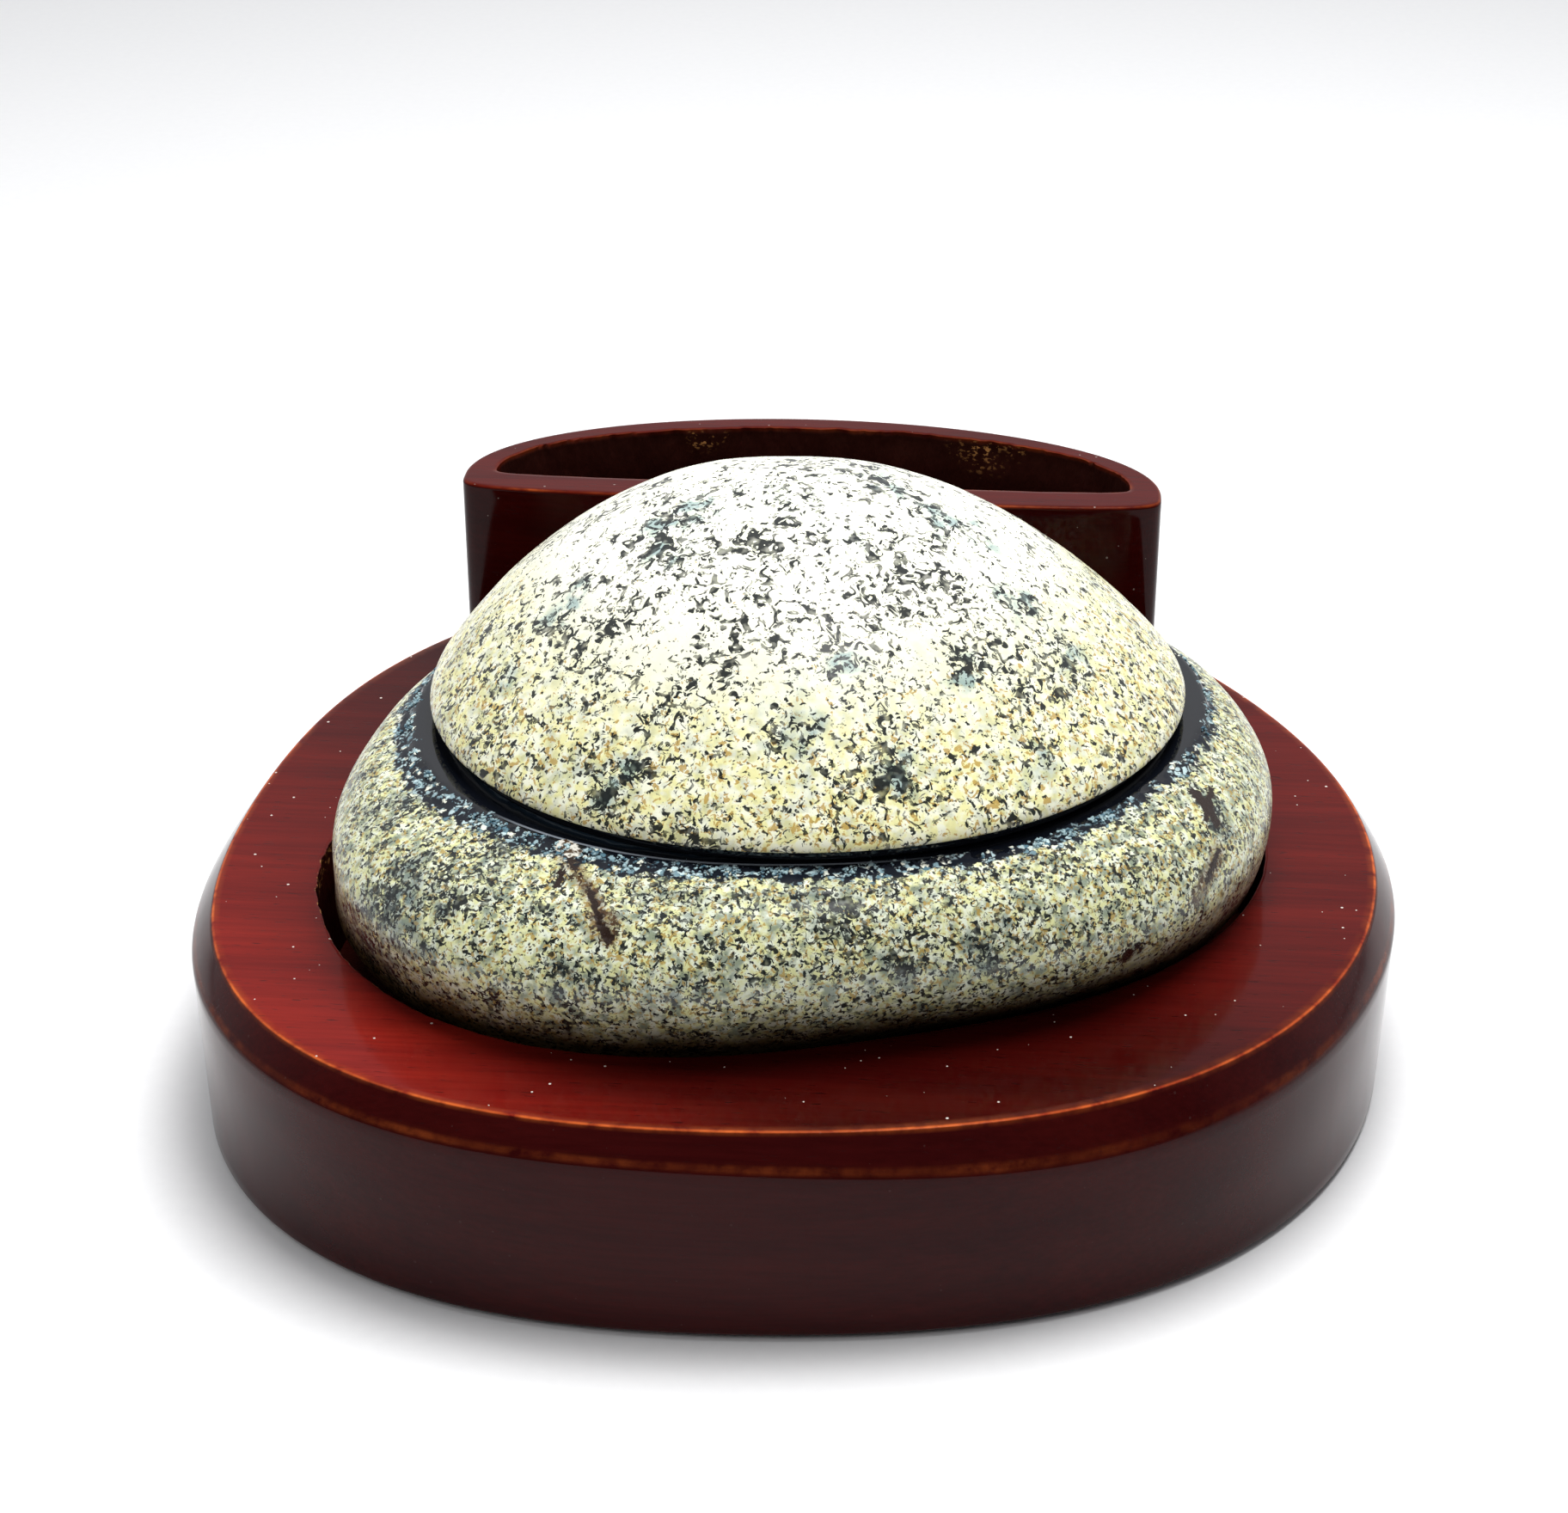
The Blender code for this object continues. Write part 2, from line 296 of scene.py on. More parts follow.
def relief(points, size, seed):
    """Smooth random height, -1 to 1: random values on a cubic lattice of that size, joined smoothly."""
    lattice = np.random.default_rng(seed).uniform(-1, 1, (RELIEF_CELLS,) * 3)
    turned = points @ np.array([[0.80, 0.48, -0.36], [-0.60, 0.64, -0.48], [0.0, 0.60, 0.80]])
    place = turned / size
    cell = np.floor(place).astype(int)
    part = place - cell
    part = part * part * (3 - 2 * part)
    total = np.zeros(points.shape[:-1])
    for corner in np.ndindex(2, 2, 2):
        weight = np.prod(np.where(np.array(corner) == 1, part, 1 - part), axis=-1)
        index = (cell + np.array(corner)) % RELIEF_CELLS
        total += weight * lattice[index[..., 0], index[..., 1], index[..., 2]]
    return total


def flat_at(reach, turn, centre=(0, 0)):
    """A flat outline: reach in each direction from a centre."""
    return np.column_stack([centre[0] + reach * np.cos(turn), centre[1] + reach * np.sin(turn)])


def rings_at(reach, turn, height, centre):
    """Rows of points: reach[row, turn] round a centre (one, or one for each row) at height[row]."""
    reach = np.atleast_2d(reach)
    centre = np.broadcast_to(np.asarray(centre, float), (len(reach), 2))
    rows = np.empty((len(reach), len(turn), 3))
    rows[..., 0] = centre[:, :1] + reach * np.cos(turn)
    rows[..., 1] = centre[:, 1:] + reach * np.sin(turn)
    rows[..., 2] = np.asarray(height, float).reshape(len(reach), -1)
    return rows


def raised(flat, height):
    """An outline set at a height, or each point at its own."""
    return np.column_stack([flat, np.broadcast_to(height, len(flat))])


def own_middle(outline):
    """The middle of an outline's box."""
    return (outline.max(0) + outline.min(0)) / 2


def run_along(rows):
    """Distance walked across the rows from the first one, in each direction."""
    steps = np.linalg.norm(np.diff(rows, axis=0), axis=-1)
    return np.concatenate([np.zeros((1, rows.shape[1])), np.cumsum(steps, 0)])


def inset(flat, depth):
    """A closed outline moved inwards, square to itself."""
    ahead = np.roll(flat, -1, 0) - np.roll(flat, 1, 0)
    ahead /= np.linalg.norm(ahead, axis=1)[:, None]
    inward = np.column_stack([-ahead[:, 1], ahead[:, 0]])
    return flat + np.asarray(depth)[..., None] * inward


def row_normals(rows):
    """Outward unit normals of a ring surface: the step round a row crossed with the step between rows."""
    around = np.roll(rows, -1, 1) - np.roll(rows, 1, 1)
    along = np.gradient(rows, axis=0)
    normal = np.cross(around, along)
    length = np.linalg.norm(normal, axis=-1, keepdims=True)
    return normal / np.maximum(length, 1e-9)


def show(obj, body, material, nodes=(), smooth_deg=None):
    """Links a finished piece, gives it its finish and its body, and hides the CAD nodes that it stands for.
    """
    bpy.context.scene.collection.objects.link(obj)
    obj.data.materials.append(material)
    obj.data.shade_smooth()
    if smooth_deg:
        obj.data.set_sharp_from_angle(angle=math.radians(smooth_deg))
    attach(obj, body)
    if nodes:
        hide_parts(*nodes)
    return obj


def mesh_from(name, points, corners, sides, masks=None):
    """A mesh from points in mm, the corners of all faces in a row, and how many sides each face has."""
    mesh = bpy.data.meshes.new(name)
    mesh.vertices.add(len(points))
    mesh.vertices.foreach_set("co", (points * MM).astype(np.float32).ravel())
    mesh.loops.add(len(corners))
    mesh.loops.foreach_set("vertex_index", corners.astype(np.int32))
    mesh.polygons.add(len(sides))
    mesh.polygons.foreach_set("loop_start", (np.cumsum(sides) - sides).astype(np.int32))
    mesh.update(calc_edges=True)
    mesh.validate()
    for mask, values in (masks or {}).items():
        layer = mesh.attributes.new(mask, "FLOAT", "POINT")
        layer.data.foreach_set("value", values.astype(np.float32))
    return mesh


def ring_surface(name, rows, first_pole, last_pole, masks=None):
    """A closed surface: quads between neighbouring rings, and a fan of triangles to a pole at each end."""
    rings, around = rows.shape[:2]
    points = np.vstack([rows.reshape(-1, 3), first_pole, last_pole])
    j = np.arange(around)
    after = (j + 1) % around
    low = (np.arange(rings - 1) * around)[:, None]
    quads = np.stack([low + j, low + after, low + around + after, low + around + j], -1)
    first = rings * around
    top = (rings - 1) * around
    start_fan = np.stack([np.full(around, first), after, j], -1)
    end_fan = np.stack([np.full(around, first + 1), top + j, top + after], -1)
    corners = np.concatenate([quads.ravel(), start_fan.ravel(), end_fan.ravel()])
    sides = np.concatenate([np.full((rings - 1) * around, 4), np.full(2 * around, 3)])
    padded = {}
    for mask, values in (masks or {}).items():
        ends = [values[0].mean(), values[-1].mean()]
        padded[mask] = np.concatenate([values.ravel(), ends])
    return mesh_from(name, points, corners, sides, padded)


def many_of(shape_points, shape_faces, places, frames, sizes):
    """Copies of a small closed shape: each is scaled by its three sizes, turned by its frame and moved."""
    scaled = shape_points[None, :, :] * sizes[:, None, :]
    points = np.einsum("nij,nkj->nki", frames, scaled) + places[:, None, :]
    faces = shape_faces[None] + (np.arange(len(places)) * len(shape_points))[:, None, None]
    sides = np.full(len(places) * len(shape_faces), 3)
    return points.reshape(-1, 3), faces.ravel(), sides


def frames_along(direction, seed):
    """One turn matrix for each direction, whose third column is that direction, spun at random about it."""
    direction = direction / np.linalg.norm(direction, axis=1, keepdims=True)
    helper = np.random.default_rng(seed).normal(size=direction.shape)
    side = np.cross(direction, helper)
    side /= np.linalg.norm(side, axis=1, keepdims=True)
    return np.stack([side, np.cross(direction, side), direction], -1)


# ---------------------------------------------------------------- shader helpers


class Wiring:
    """Short calls that add nodes to one tree. A value may be a number, a colour or a node's output."""

    def __init__(self, tree):
        self.tree = tree

    def add(self, kind, inputs=None, **settings):
        """A new node, with its settings and its inputs' values."""
        node = self.tree.nodes.new(kind)
        for name, value in settings.items():
            setattr(node, name, value)
        for name, value in (inputs or {}).items():
            self.put(node.inputs[name], value)
        return node

    def put(self, socket, value):
        """Sets a socket's value, or links another node's output to it."""
        if isinstance(value, bpy.types.NodeSocket):
            self.tree.links.new(value, socket)
        elif hasattr(value, "__len__") and len(value) == 3 and socket.type == "RGBA":
            socket.default_value = (*value, 1)
        else:
            socket.default_value = value

    def math(self, operation, first, second=0.0, clamp=False):
        node = self.add("ShaderNodeMath", {0: first, 1: second}, operation=operation)
        node.use_clamp = clamp
        return node.outputs[0]

    def times(self, first, second, clamp=False):
        return self.math("MULTIPLY", first, second, clamp)

    def plus(self, first, second):
        return self.math("ADD", first, second)

    def minus(self, first, second):
        return self.math("SUBTRACT", first, second)

    def vector(self, operation, first, second=(0, 0, 0)):
        """A vector operation. Its number, for a dot product or a length, is the second output."""
        return self.add("ShaderNodeVectorMath", {0: first, 1: second}, operation=operation).outputs

    def shaken(self, vector, scale, reach):
        """The vector moved by up to half the reach in each direction, by noise."""
        noise = self.add("ShaderNodeTexNoise", {"Vector": vector, "Scale": scale, "Detail": 2.0})
        shake = self.vector("SUBTRACT", noise.outputs["Color"], (0.5, 0.5, 0.5))[0]
        return self.vector("ADD", vector, self.vector("MULTIPLY", shake, (reach, reach, reach))[0])[0]

    def mix(self, share, first, second, blend="MIX"):
        """The second colour over the first, by a share from 0 to 1."""
        node = self.add("ShaderNodeMix", data_type="RGBA", blend_type=blend)
        self.put(node.inputs["Factor"], share)
        self.put(node.inputs[6], first)
        self.put(node.inputs[7], second)
        return node.outputs[2]

    def grey(self, value):
        """A value as a grey colour, for a colour mix."""
        return self.add("ShaderNodeCombineColor", {0: value, 1: value, 2: value}).outputs[0]

    def between(self, value, low, high):
        """0 at low and 1 at high, clamped, in either order."""
        node = self.add("ShaderNodeMapRange", {"Value": value, "From Min": low, "From Max": high})
        node.clamp = True
        return node.outputs[0]

    def noise(self, vector, scale, detail=2.0, roughness=0.5, distortion=0.0):
        """Noise round 0.5."""
        values = {
            "Vector": vector,
            "Scale": scale,
            "Detail": detail,
            "Roughness": roughness,
            "Distortion": distortion,
        }
        return self.add("ShaderNodeTexNoise", values).outputs["Fac"]

    def moved(self, vector, offset=(0, 0, 0), scale=(1, 1, 1)):
        """The vector stretched, then moved."""
        node = self.add("ShaderNodeMapping", {"Vector": vector, "Location": offset, "Scale": scale})
        return node.outputs[0]

    def mask(self, name):
        """A surface mask that the mesh carries."""
        return self.add("ShaderNodeAttribute", attribute_name=name).outputs["Fac"]

    def place_mm(self):
        """The object's own coordinates in millimetres."""
        place = self.add("ShaderNodeTexCoord").outputs["Object"]
        return self.add("ShaderNodeVectorMath", {0: place, "Scale": 1000}, operation="SCALE").outputs[0]

    def group(self, tree, inputs):
        """A shared group, placed with its own values, and its outputs."""
        node = self.add("ShaderNodeGroup", node_tree=tree)
        for name, value in inputs.items():
            self.put(node.inputs[name], value)
        return node.outputs

    def bump(self, height, distance_mm, strength=1.0):
        """The surface's direction, tilted by a height whose full step is a distance in mm."""
        values = {"Height": height, "Distance": distance_mm * MM, "Strength": strength}
        return self.add("ShaderNodeBump", values).outputs[0]


SOCKET_KINDS = {"Vector": "NodeSocketVector", "Colour": "NodeSocketColor", "Value": "NodeSocketFloat"}


def new_group(name, inputs, outputs):
    """An empty shader group with named sockets, its wiring, its input node and its output node."""
    tree = bpy.data.node_groups.new(name, "ShaderNodeTree")
    for socket, kind in inputs.items():
        tree.interface.new_socket(socket, in_out="INPUT", socket_type=SOCKET_KINDS[kind])
    for socket, kind in outputs.items():
        tree.interface.new_socket(socket, in_out="OUTPUT", socket_type=SOCKET_KINDS[kind])
    wiring = Wiring(tree)
    return tree, wiring, wiring.add("NodeGroupInput").outputs, wiring.add("NodeGroupOutput")


def new_material(name):
    """A material with only a Principled BSDF, its wiring and that shader."""
    made = bpy.data.materials.new(name)
    made.use_nodes = True
    wiring = Wiring(made.node_tree)
    return made, wiring, made.node_tree.nodes["Principled BSDF"]


def shared(name, build):
    """A node group by name, built the first time it is asked for."""
    return bpy.data.node_groups.get(name) or build(name)


def fleck_group(name):
    """Crisp flecks: fine noise below a limit that rises with Amount and with a coarser clumping noise."""
    inputs = {"Vector": "Vector", "Size": "Value", "Amount": "Value", "Clumping": "Value", "Bend": "Value"}
    tree, wiring, given, out = new_group(name, inputs, {"Mask": "Value"})
    scale = wiring.math("DIVIDE", 1.0, given["Size"])
    fine = wiring.noise(given["Vector"], scale, detail=2.5, roughness=0.6, distortion=given["Bend"])
    clump_scale = wiring.times(scale, 0.16)
    shifted = wiring.moved(given["Vector"], offset=(31, 17, 53))
    clump = wiring.minus(wiring.noise(shifted, clump_scale, detail=2.0), 0.5)
    limit = wiring.plus(given["Amount"], wiring.times(clump, given["Clumping"]))
    depth = wiring.minus(limit, fine)
    wiring.put(out.inputs["Mask"], wiring.between(depth, -0.012, 0.022))
    return tree


def dust_group(name):
    """Specks: a round dot in part of the cells of a Voronoi pattern. Share is how many cells have one."""
    inputs = {"Vector": "Vector", "Spacing": "Value", "Radius": "Value", "Share": "Value"}
    tree, wiring, given, out = new_group(name, inputs, {"Mask": "Value"})
    scale = wiring.math("DIVIDE", 1.0, given["Spacing"])
    cells = wiring.add("ShaderNodeTexVoronoi", {"Vector": given["Vector"], "Scale": scale})
    pick = wiring.add("ShaderNodeSeparateColor", {"Color": cells.outputs["Color"]}).outputs[0]
    chosen = wiring.math("LESS_THAN", pick, given["Share"])
    reach = wiring.times(cells.outputs["Distance"], given["Spacing"])
    dot = wiring.math("LESS_THAN", reach, wiring.times(given["Radius"], pick))
    wiring.put(out.inputs["Mask"], wiring.times(chosen, dot))
    return tree


def grain_group(name):
    """Wood grain along X: broad streaks and short dark pores, both from noise stretched along the grain."""
    inputs = {"Vector": "Vector", "Light": "Colour", "Dark": "Colour"}
    tree, wiring, given, out = new_group(name, inputs, {"Color": "Colour", "Pores": "Value"})
    slow = wiring.moved(given["Vector"], scale=(0.010, 0.13, 0.13))
    streaks = wiring.noise(slow, 1.0, detail=5.0, roughness=0.62, distortion=0.4)
    fibre = wiring.noise(wiring.moved(given["Vector"], scale=(0.05, 1.3, 1.3)), 1.0, detail=3.0)
    pores = wiring.noise(wiring.moved(given["Vector"], scale=(0.30, 2.8, 2.8)), 1.0, detail=1.0)
    ground = wiring.mix(wiring.between(streaks, 0.30, 0.70), given["Dark"], given["Light"])
    fine = wiring.mix(wiring.between(fibre, 0.35, 0.65), (0.86, 0.84, 0.84), (1.06, 1.05, 1.05))
    ground = wiring.mix(1.0, ground, fine, "MULTIPLY")
    dark = wiring.between(pores, 0.68, 0.73)
    ground = wiring.mix(wiring.times(dark, 0.6), ground, (0.02, 0.003, 0.003))
    wiring.put(out.inputs["Color"], ground)
    wiring.put(out.inputs["Pores"], dark)
    return tree


def skin_group(name):
    """Pebble skin: cream ground, grey-green mottling, ochre grains, dark flecks, blue-black patches."""
    inputs = {
        "Vector": "Vector",
        "Cream": "Colour",
        "Ochre": "Colour",
        "Fleck": "Colour",
        "Size": "Value",
        "Amount": "Value",
        "Bold": "Value",
        "Rust": "Value",
        "Patch": "Value",
        "Lift": "Value",
        "Tint": "Colour",
        "Grey": "Value",
    }
    tree, wiring, given, out = new_group(name, inputs, {"Color": "Colour", "Height": "Value"})
    flecks = shared("crisp flecks", fleck_group)
    place = given["Vector"]
    size = given["Size"]

    def broad(offset, share, detail=3.0):
        """Noise whose scale is a share of the flecks', moved so that no two are alike."""
        scale = wiring.math("DIVIDE", share, size)
        return wiring.noise(wiring.moved(place, offset=offset), scale, detail=detail)

    mottle = broad((91, 7, 3), 0.7)
    ground = wiring.mix(wiring.between(mottle, 0.42, 0.58), (0.96, 0.97, 0.80), given["Cream"])
    murk = wiring.times(wiring.between(broad((5, 63, 21), 0.42), 0.48, 0.64), given["Grey"])
    ground = wiring.mix(murk, ground, (0.23, 0.28, 0.22))
    rusty = {
        "Vector": wiring.moved(place, offset=(37, 71, 19)),
        "Size": wiring.times(size, 0.95),
        "Amount": given["Rust"],
        "Clumping": 0.16,
        "Bend": 0.6,
    }
    ochre = wiring.group(flecks, rusty)["Mask"]
    ground = wiring.mix(wiring.times(ochre, 0.85), ground, given["Ochre"])
    tint = wiring.between(broad((2, 44, 8), 0.35), 0.40, 0.56)
    tint = wiring.times(tint, given["Patch"], clamp=True)
    ground = wiring.mix(wiring.times(tint, 0.70), ground, given["Tint"])
    lift = wiring.times(given["Patch"], given["Lift"])
    fine = {
        "Vector": place,
        "Size": wiring.times(size, 0.85),
        "Amount": wiring.plus(given["Amount"], wiring.times(lift, 0.5)),
        "Clumping": 0.26,
        "Bend": 0.5,
    }
    bold = {
        "Vector": wiring.moved(place, offset=(73, 29, 47)),
        "Size": wiring.times(size, 1.75),
        "Amount": wiring.plus(given["Bold"], lift),
        "Clumping": 0.46,
        "Bend": 1.3,
    }
    dark = wiring.group(flecks, fine)["Mask"]
    strokes = wiring.group(flecks, bold)["Mask"]
    fade = broad((12, 1, 77), 0.8, detail=1.0)
    strength = wiring.plus(wiring.times(wiring.between(fade, 0.30, 0.52), 0.32), 0.66)
    dark = wiring.times(wiring.math("MAXIMUM", dark, strokes), strength)
    colour = wiring.mix(dark, ground, given["Fleck"])
    wiring.put(out.inputs["Color"], colour)
    height = wiring.minus(mottle, wiring.times(dark, 0.35))
    wiring.put(out.inputs["Height"], height)
    return tree


def agate_group(name):
    """Polished cut: bands by the distance in from the edge, bent by noise, from black to pale quartz."""
    inputs = {"Vector": "Vector", "Inward": "Value", "Cut": "Colour"}
    tree, wiring, given, out = new_group(name, inputs, {"Color": "Colour"})
    bend = wiring.noise(wiring.moved(given["Vector"], offset=(9, 9, 9)), 0.11, detail=3.0, roughness=0.55)
    wander = wiring.times(wiring.minus(bend, 0.5), 14.0)
    room = wiring.between(given["Inward"], 6.0, 14.0)
    bent = wiring.plus(given["Inward"], wiring.times(wander, room))
    fine = wiring.math("SINE", wiring.times(bent, 4.4))
    stops = wiring.add("ShaderNodeValToRGB", {"Fac": wiring.math("DIVIDE", bent, 34.0)})
    ramp = stops.color_ramp
    bands = (
        (0.00, (0, 0, 0)),
        (0.22, (0.006, 0.009, 0.014)),
        (0.27, (0.030, 0.055, 0.085)),
        (0.33, (0.10, 0.17, 0.23)),
        (0.37, (0.50, 0.56, 0.58)),
        (0.42, (0.12, 0.22, 0.31)),
        (0.50, (0.32, 0.42, 0.48)),
        (0.56, (0.70, 0.72, 0.68)),
        (0.60, (0.36, 0.23, 0.12)),
        (0.66, (0.62, 0.58, 0.50)),
        (0.75, (0.82, 0.83, 0.80)),
        (1.00, (0.66, 0.70, 0.74)),
    )
    ramp.elements[0].position = bands[0][0]
    ramp.elements[0].color = (*bands[0][1], 1)
    ramp.elements[1].position = bands[-1][0]
    ramp.elements[1].color = (*bands[-1][1], 1)
    for position, colour in bands[1:-1]:
        ramp.elements.new(position).color = (*colour, 1)
    lines = wiring.times(wiring.between(fine, 0.2, 1.0), room)
    banded = wiring.mix(wiring.times(lines, 0.4), stops.outputs[0], (0.55, 0.60, 0.62))
    past_margin = wiring.between(given["Inward"], 6.0, 9.0)
    wiring.put(out.inputs["Color"], wiring.mix(past_margin, given["Cut"], banded))
    return tree


def line_group(name):
    """Distance from the straight line between two points, ends included."""
    inputs = {"Vector": "Vector", "Start": "Vector", "End": "Vector"}
    tree, wiring, given, out = new_group(name, inputs, {"Away": "Value"})
    line = wiring.vector("SUBTRACT", given["End"], given["Start"])[0]
    here = wiring.vector("SUBTRACT", given["Vector"], given["Start"])[0]
    squared = wiring.vector("DOT_PRODUCT", line, line)[1]
    share = wiring.math("DIVIDE", wiring.vector("DOT_PRODUCT", here, line)[1], squared, clamp=True)
    node = wiring.add("ShaderNodeVectorMath", {0: line, "Scale": share}, operation="SCALE")
    off = wiring.vector("SUBTRACT", here, node.outputs[0])[0]
    wiring.put(out.inputs["Away"], wiring.vector("LENGTH", off)[1])
    return tree


def crust_group(name):
    """Crystalline crust: pale blue and cream grains with black gaps, by distance in Voronoi cells."""
    inputs = {"Vector": "Vector", "Size": "Value"}
    tree, wiring, given, out = new_group(name, inputs, {"Color": "Colour", "Height": "Value"})
    scale = wiring.math("DIVIDE", 1.0, given["Size"])
    jitter = wiring.noise(given["Vector"], scale, detail=2.0)
    shaken = wiring.shaken(given["Vector"], wiring.times(scale, 1.6), 1.5)
    cells = wiring.add("ShaderNodeTexVoronoi", {"Vector": shaken, "Scale": scale})
    pick = wiring.add("ShaderNodeSeparateColor", {"Color": cells.outputs["Color"]})
    pale = wiring.mix(pick.outputs[0], (0.07, 0.16, 0.21), (0.56, 0.71, 0.72))
    pale = wiring.mix(wiring.between(pick.outputs[1], 0.80, 0.88), pale, (0.82, 0.83, 0.70))
    rim = wiring.plus(cells.outputs["Distance"], wiring.times(jitter, 0.5))
    gap = wiring.between(rim, 0.66, 0.82)
    hole = wiring.between(wiring.noise(given["Vector"], 0.38, detail=3.0), 0.49, 0.44)
    gap = wiring.math("MAXIMUM", gap, hole)
    wiring.put(out.inputs["Color"], wiring.mix(gap, pale, (0.004, 0.006, 0.012)))
    wiring.put(out.inputs["Height"], wiring.minus(1.0, gap))
    return tree


# ---------------------------------------------------------------- materials


def stone_material(name, tuning, cracks=(), crumbs=()):
    """Polished skin, ragged crystalline crust along the cut, and the polished agate face, mixed by masks.

    Tuning sets each half's skin: fleck size and amount, bold strokes, rust, grey murk, how much balder the
    crown is, how far patches lift the flecks and tint the ground, how ragged the crust is, and its gloss.
    The crown's whiter ground is partly a painted highlight. Painted shade darkens the skin low down, and a
    painted highlight draws a thin grey line on the polished cut just beyond the crust's lip.
    """
    settings = bpy.context.scene.geode_stone
    made, wiring, shader = new_material(name)
    place = wiring.place_mm()
    inward = wiring.mask("inward")
    crown = wiring.mask("crown")
    patch = wiring.mask("patch")
    skin_inputs = {
        "Vector": place,
        # The crown mask whitens the ground towards the top and takes the grey murk away: partly a painted
        # highlight. Its fewer fine flecks, bolder strokes and less rust are the skin's own pattern.
        "Cream": wiring.mix(crown, tuple(settings.cream), (0.97, 0.96, 0.86)),
        "Ochre": tuple(settings.ochre),
        "Fleck": tuple(settings.fleck),
        "Size": tuning["size"] * settings.fleck_size / MM,
        "Amount": wiring.minus(tuning["amount"], wiring.times(crown, tuning["bare"])),
        "Bold": wiring.plus(tuning["bold"], wiring.times(crown, 0.055)),
        "Rust": wiring.minus(tuning["rust"], wiring.times(crown, 0.14)),
        "Patch": patch,
        "Lift": tuning["lift"],
        "Tint": tuning["tint"],
        "Grey": wiring.times(tuning["grey"], wiring.minus(1.0, crown)),
    }
    skin = wiring.group(shared("pebble skin", skin_group), skin_inputs)
    tinged = wiring.mix(1.0, skin["Color"], tuning["tinge"], "MULTIPLY")
    # Painted shade: where the mask is 1 the skin is multiplied towards dark brown; it lies low on each
    # half.
    shaded_and_rusted = wiring.mix(wiring.mask("painted_low_shade"), tinged, (0.14, 0.080, 0.045), "MULTIPLY")
    streak = wiring.noise(place, 1.6, detail=3.0, roughness=0.65)
    rust_mask = wiring.times(wiring.mask("rust"), wiring.between(streak, 0.28, 0.46))
    shaded_and_rusted = wiring.mix(wiring.times(rust_mask, 0.7), shaded_and_rusted, (0.13, 0.060, 0.020))

    crust = wiring.group(shared("crystal crust", crust_group), {"Vector": place, "Size": 1.15})
    ragged = wiring.noise(place, 0.42, detail=4.0, roughness=0.62)
    wander = wiring.times(wiring.minus(ragged, 0.5), tuning["ragged"])
    bent = wiring.plus(inward, wander)
    past_lip = wiring.minus(bent, wiring.mask("lip"))
    crusty = wiring.between(wiring.plus(past_lip, wiring.mask("crust")), -0.25, 0.25)
    face_inputs = {"Vector": place, "Inward": inward, "Cut": tuple(settings.cut)}
    cut = wiring.group(shared("agate face", agate_group), face_inputs)
    polished = wiring.between(past_lip, -0.1, 0.1)
    colour = wiring.mix(crusty, shaded_and_rusted, crust["Color"])
    colour = wiring.mix(polished, colour, cut["Color"])
    # Painted highlight: a thin grey line on the polished cut, 0.8 mm in beyond the crust's lip, where the
    # lip is wider than about 4 mm.
    beyond = wiring.minus(wiring.minus(inward, wiring.mask("lip")), 0.8)
    painted_edge_highlight = wiring.between(wiring.math("ABSOLUTE", beyond), 0.30, 0.16)
    painted_edge_highlight = wiring.times(painted_edge_highlight, wiring.between(wiring.mask("lip"), 3.8, 4.8))
    colour = wiring.mix(wiring.times(painted_edge_highlight, 0.8), colour, (0.26, 0.29, 0.33))
    if cracks:
        colour = wiring.mix(near_lines(wiring, place, cracks), colour, (0.020, 0.009, 0.005))
    if crumbs:
        speckle = wiring.between(wiring.noise(place, 1.3, detail=3.0), 0.42, 0.54)
        crumb = wiring.mix(speckle, (0.07, 0.040, 0.020), (0.70, 0.68, 0.60))
        colour = wiring.mix(near_lines(wiring, place, crumbs), colour, crumb)
    wiring.put(shader.inputs["Base Color"], colour)

    rough = wiring.plus(tuning["rough"], wiring.times(skin["Height"], 0.16))
    rough = wiring.plus(rough, wiring.times(crusty, 0.16))
    gloss = wiring.mix(polished, wiring.grey(rough), (0.05, 0.05, 0.05))
    wiring.put(shader.inputs["Roughness"], gloss)
    knobbly = wiring.times(crust["Height"], 3.0)
    height = wiring.mix(crusty, wiring.grey(skin["Height"]), wiring.grey(knobbly))
    height = wiring.mix(polished, height, (0.0, 0.0, 0.0))
    wiring.put(shader.inputs["Normal"], wiring.bump(height, 0.10, 0.55))
    shader.inputs["IOR"].default_value = 1.52
    return made


def near_lines(wiring, place, lines):
    """A mask that is 1 along straight lines (start, end, width) with ragged edges, and 0 away from them."""
    place = wiring.shaken(place, 0.9, 1.4)
    ragged = wiring.noise(place, 2.2, detail=3.0)
    mask = 0.0
    for start, end, width in lines:
        ends = {"Vector": place, "Start": tuple(start), "End": tuple(end)}
        away = wiring.group(shared("line distance", line_group), ends)["Away"]
        edge = wiring.plus(away, ragged)
        mask = wiring.math("MAXIMUM", mask, wiring.between(edge, width + 0.55, width + 0.35))
    return mask


def crystal_material(name, tone, deep):
    """Clear to milky quartz: paler tips, darker roots and faint clouding."""
    made, wiring, shader = new_material(name)
    place = wiring.place_mm()
    cloud = wiring.noise(place, 0.5, detail=3.0)
    clouded = wiring.times(wiring.between(cloud, 0.45, 0.7), 0.5)
    colour = wiring.mix(clouded, wiring.mix(wiring.mask("tip"), deep, tone), (0.92, 0.93, 0.95))
    wiring.put(shader.inputs["Base Color"], colour)
    wiring.put(shader.inputs["Roughness"], wiring.between(cloud, 0.2, 3.6))
    wiring.put(shader.inputs["Normal"], wiring.bump(wiring.noise(place, 3.0, detail=2.0), 0.03, 0.4))
    shader.inputs["IOR"].default_value = 1.55
    shader.inputs["Transmission Weight"].default_value = 0.12
    shader.inputs["Coat Weight"].default_value = 0.4
    return made


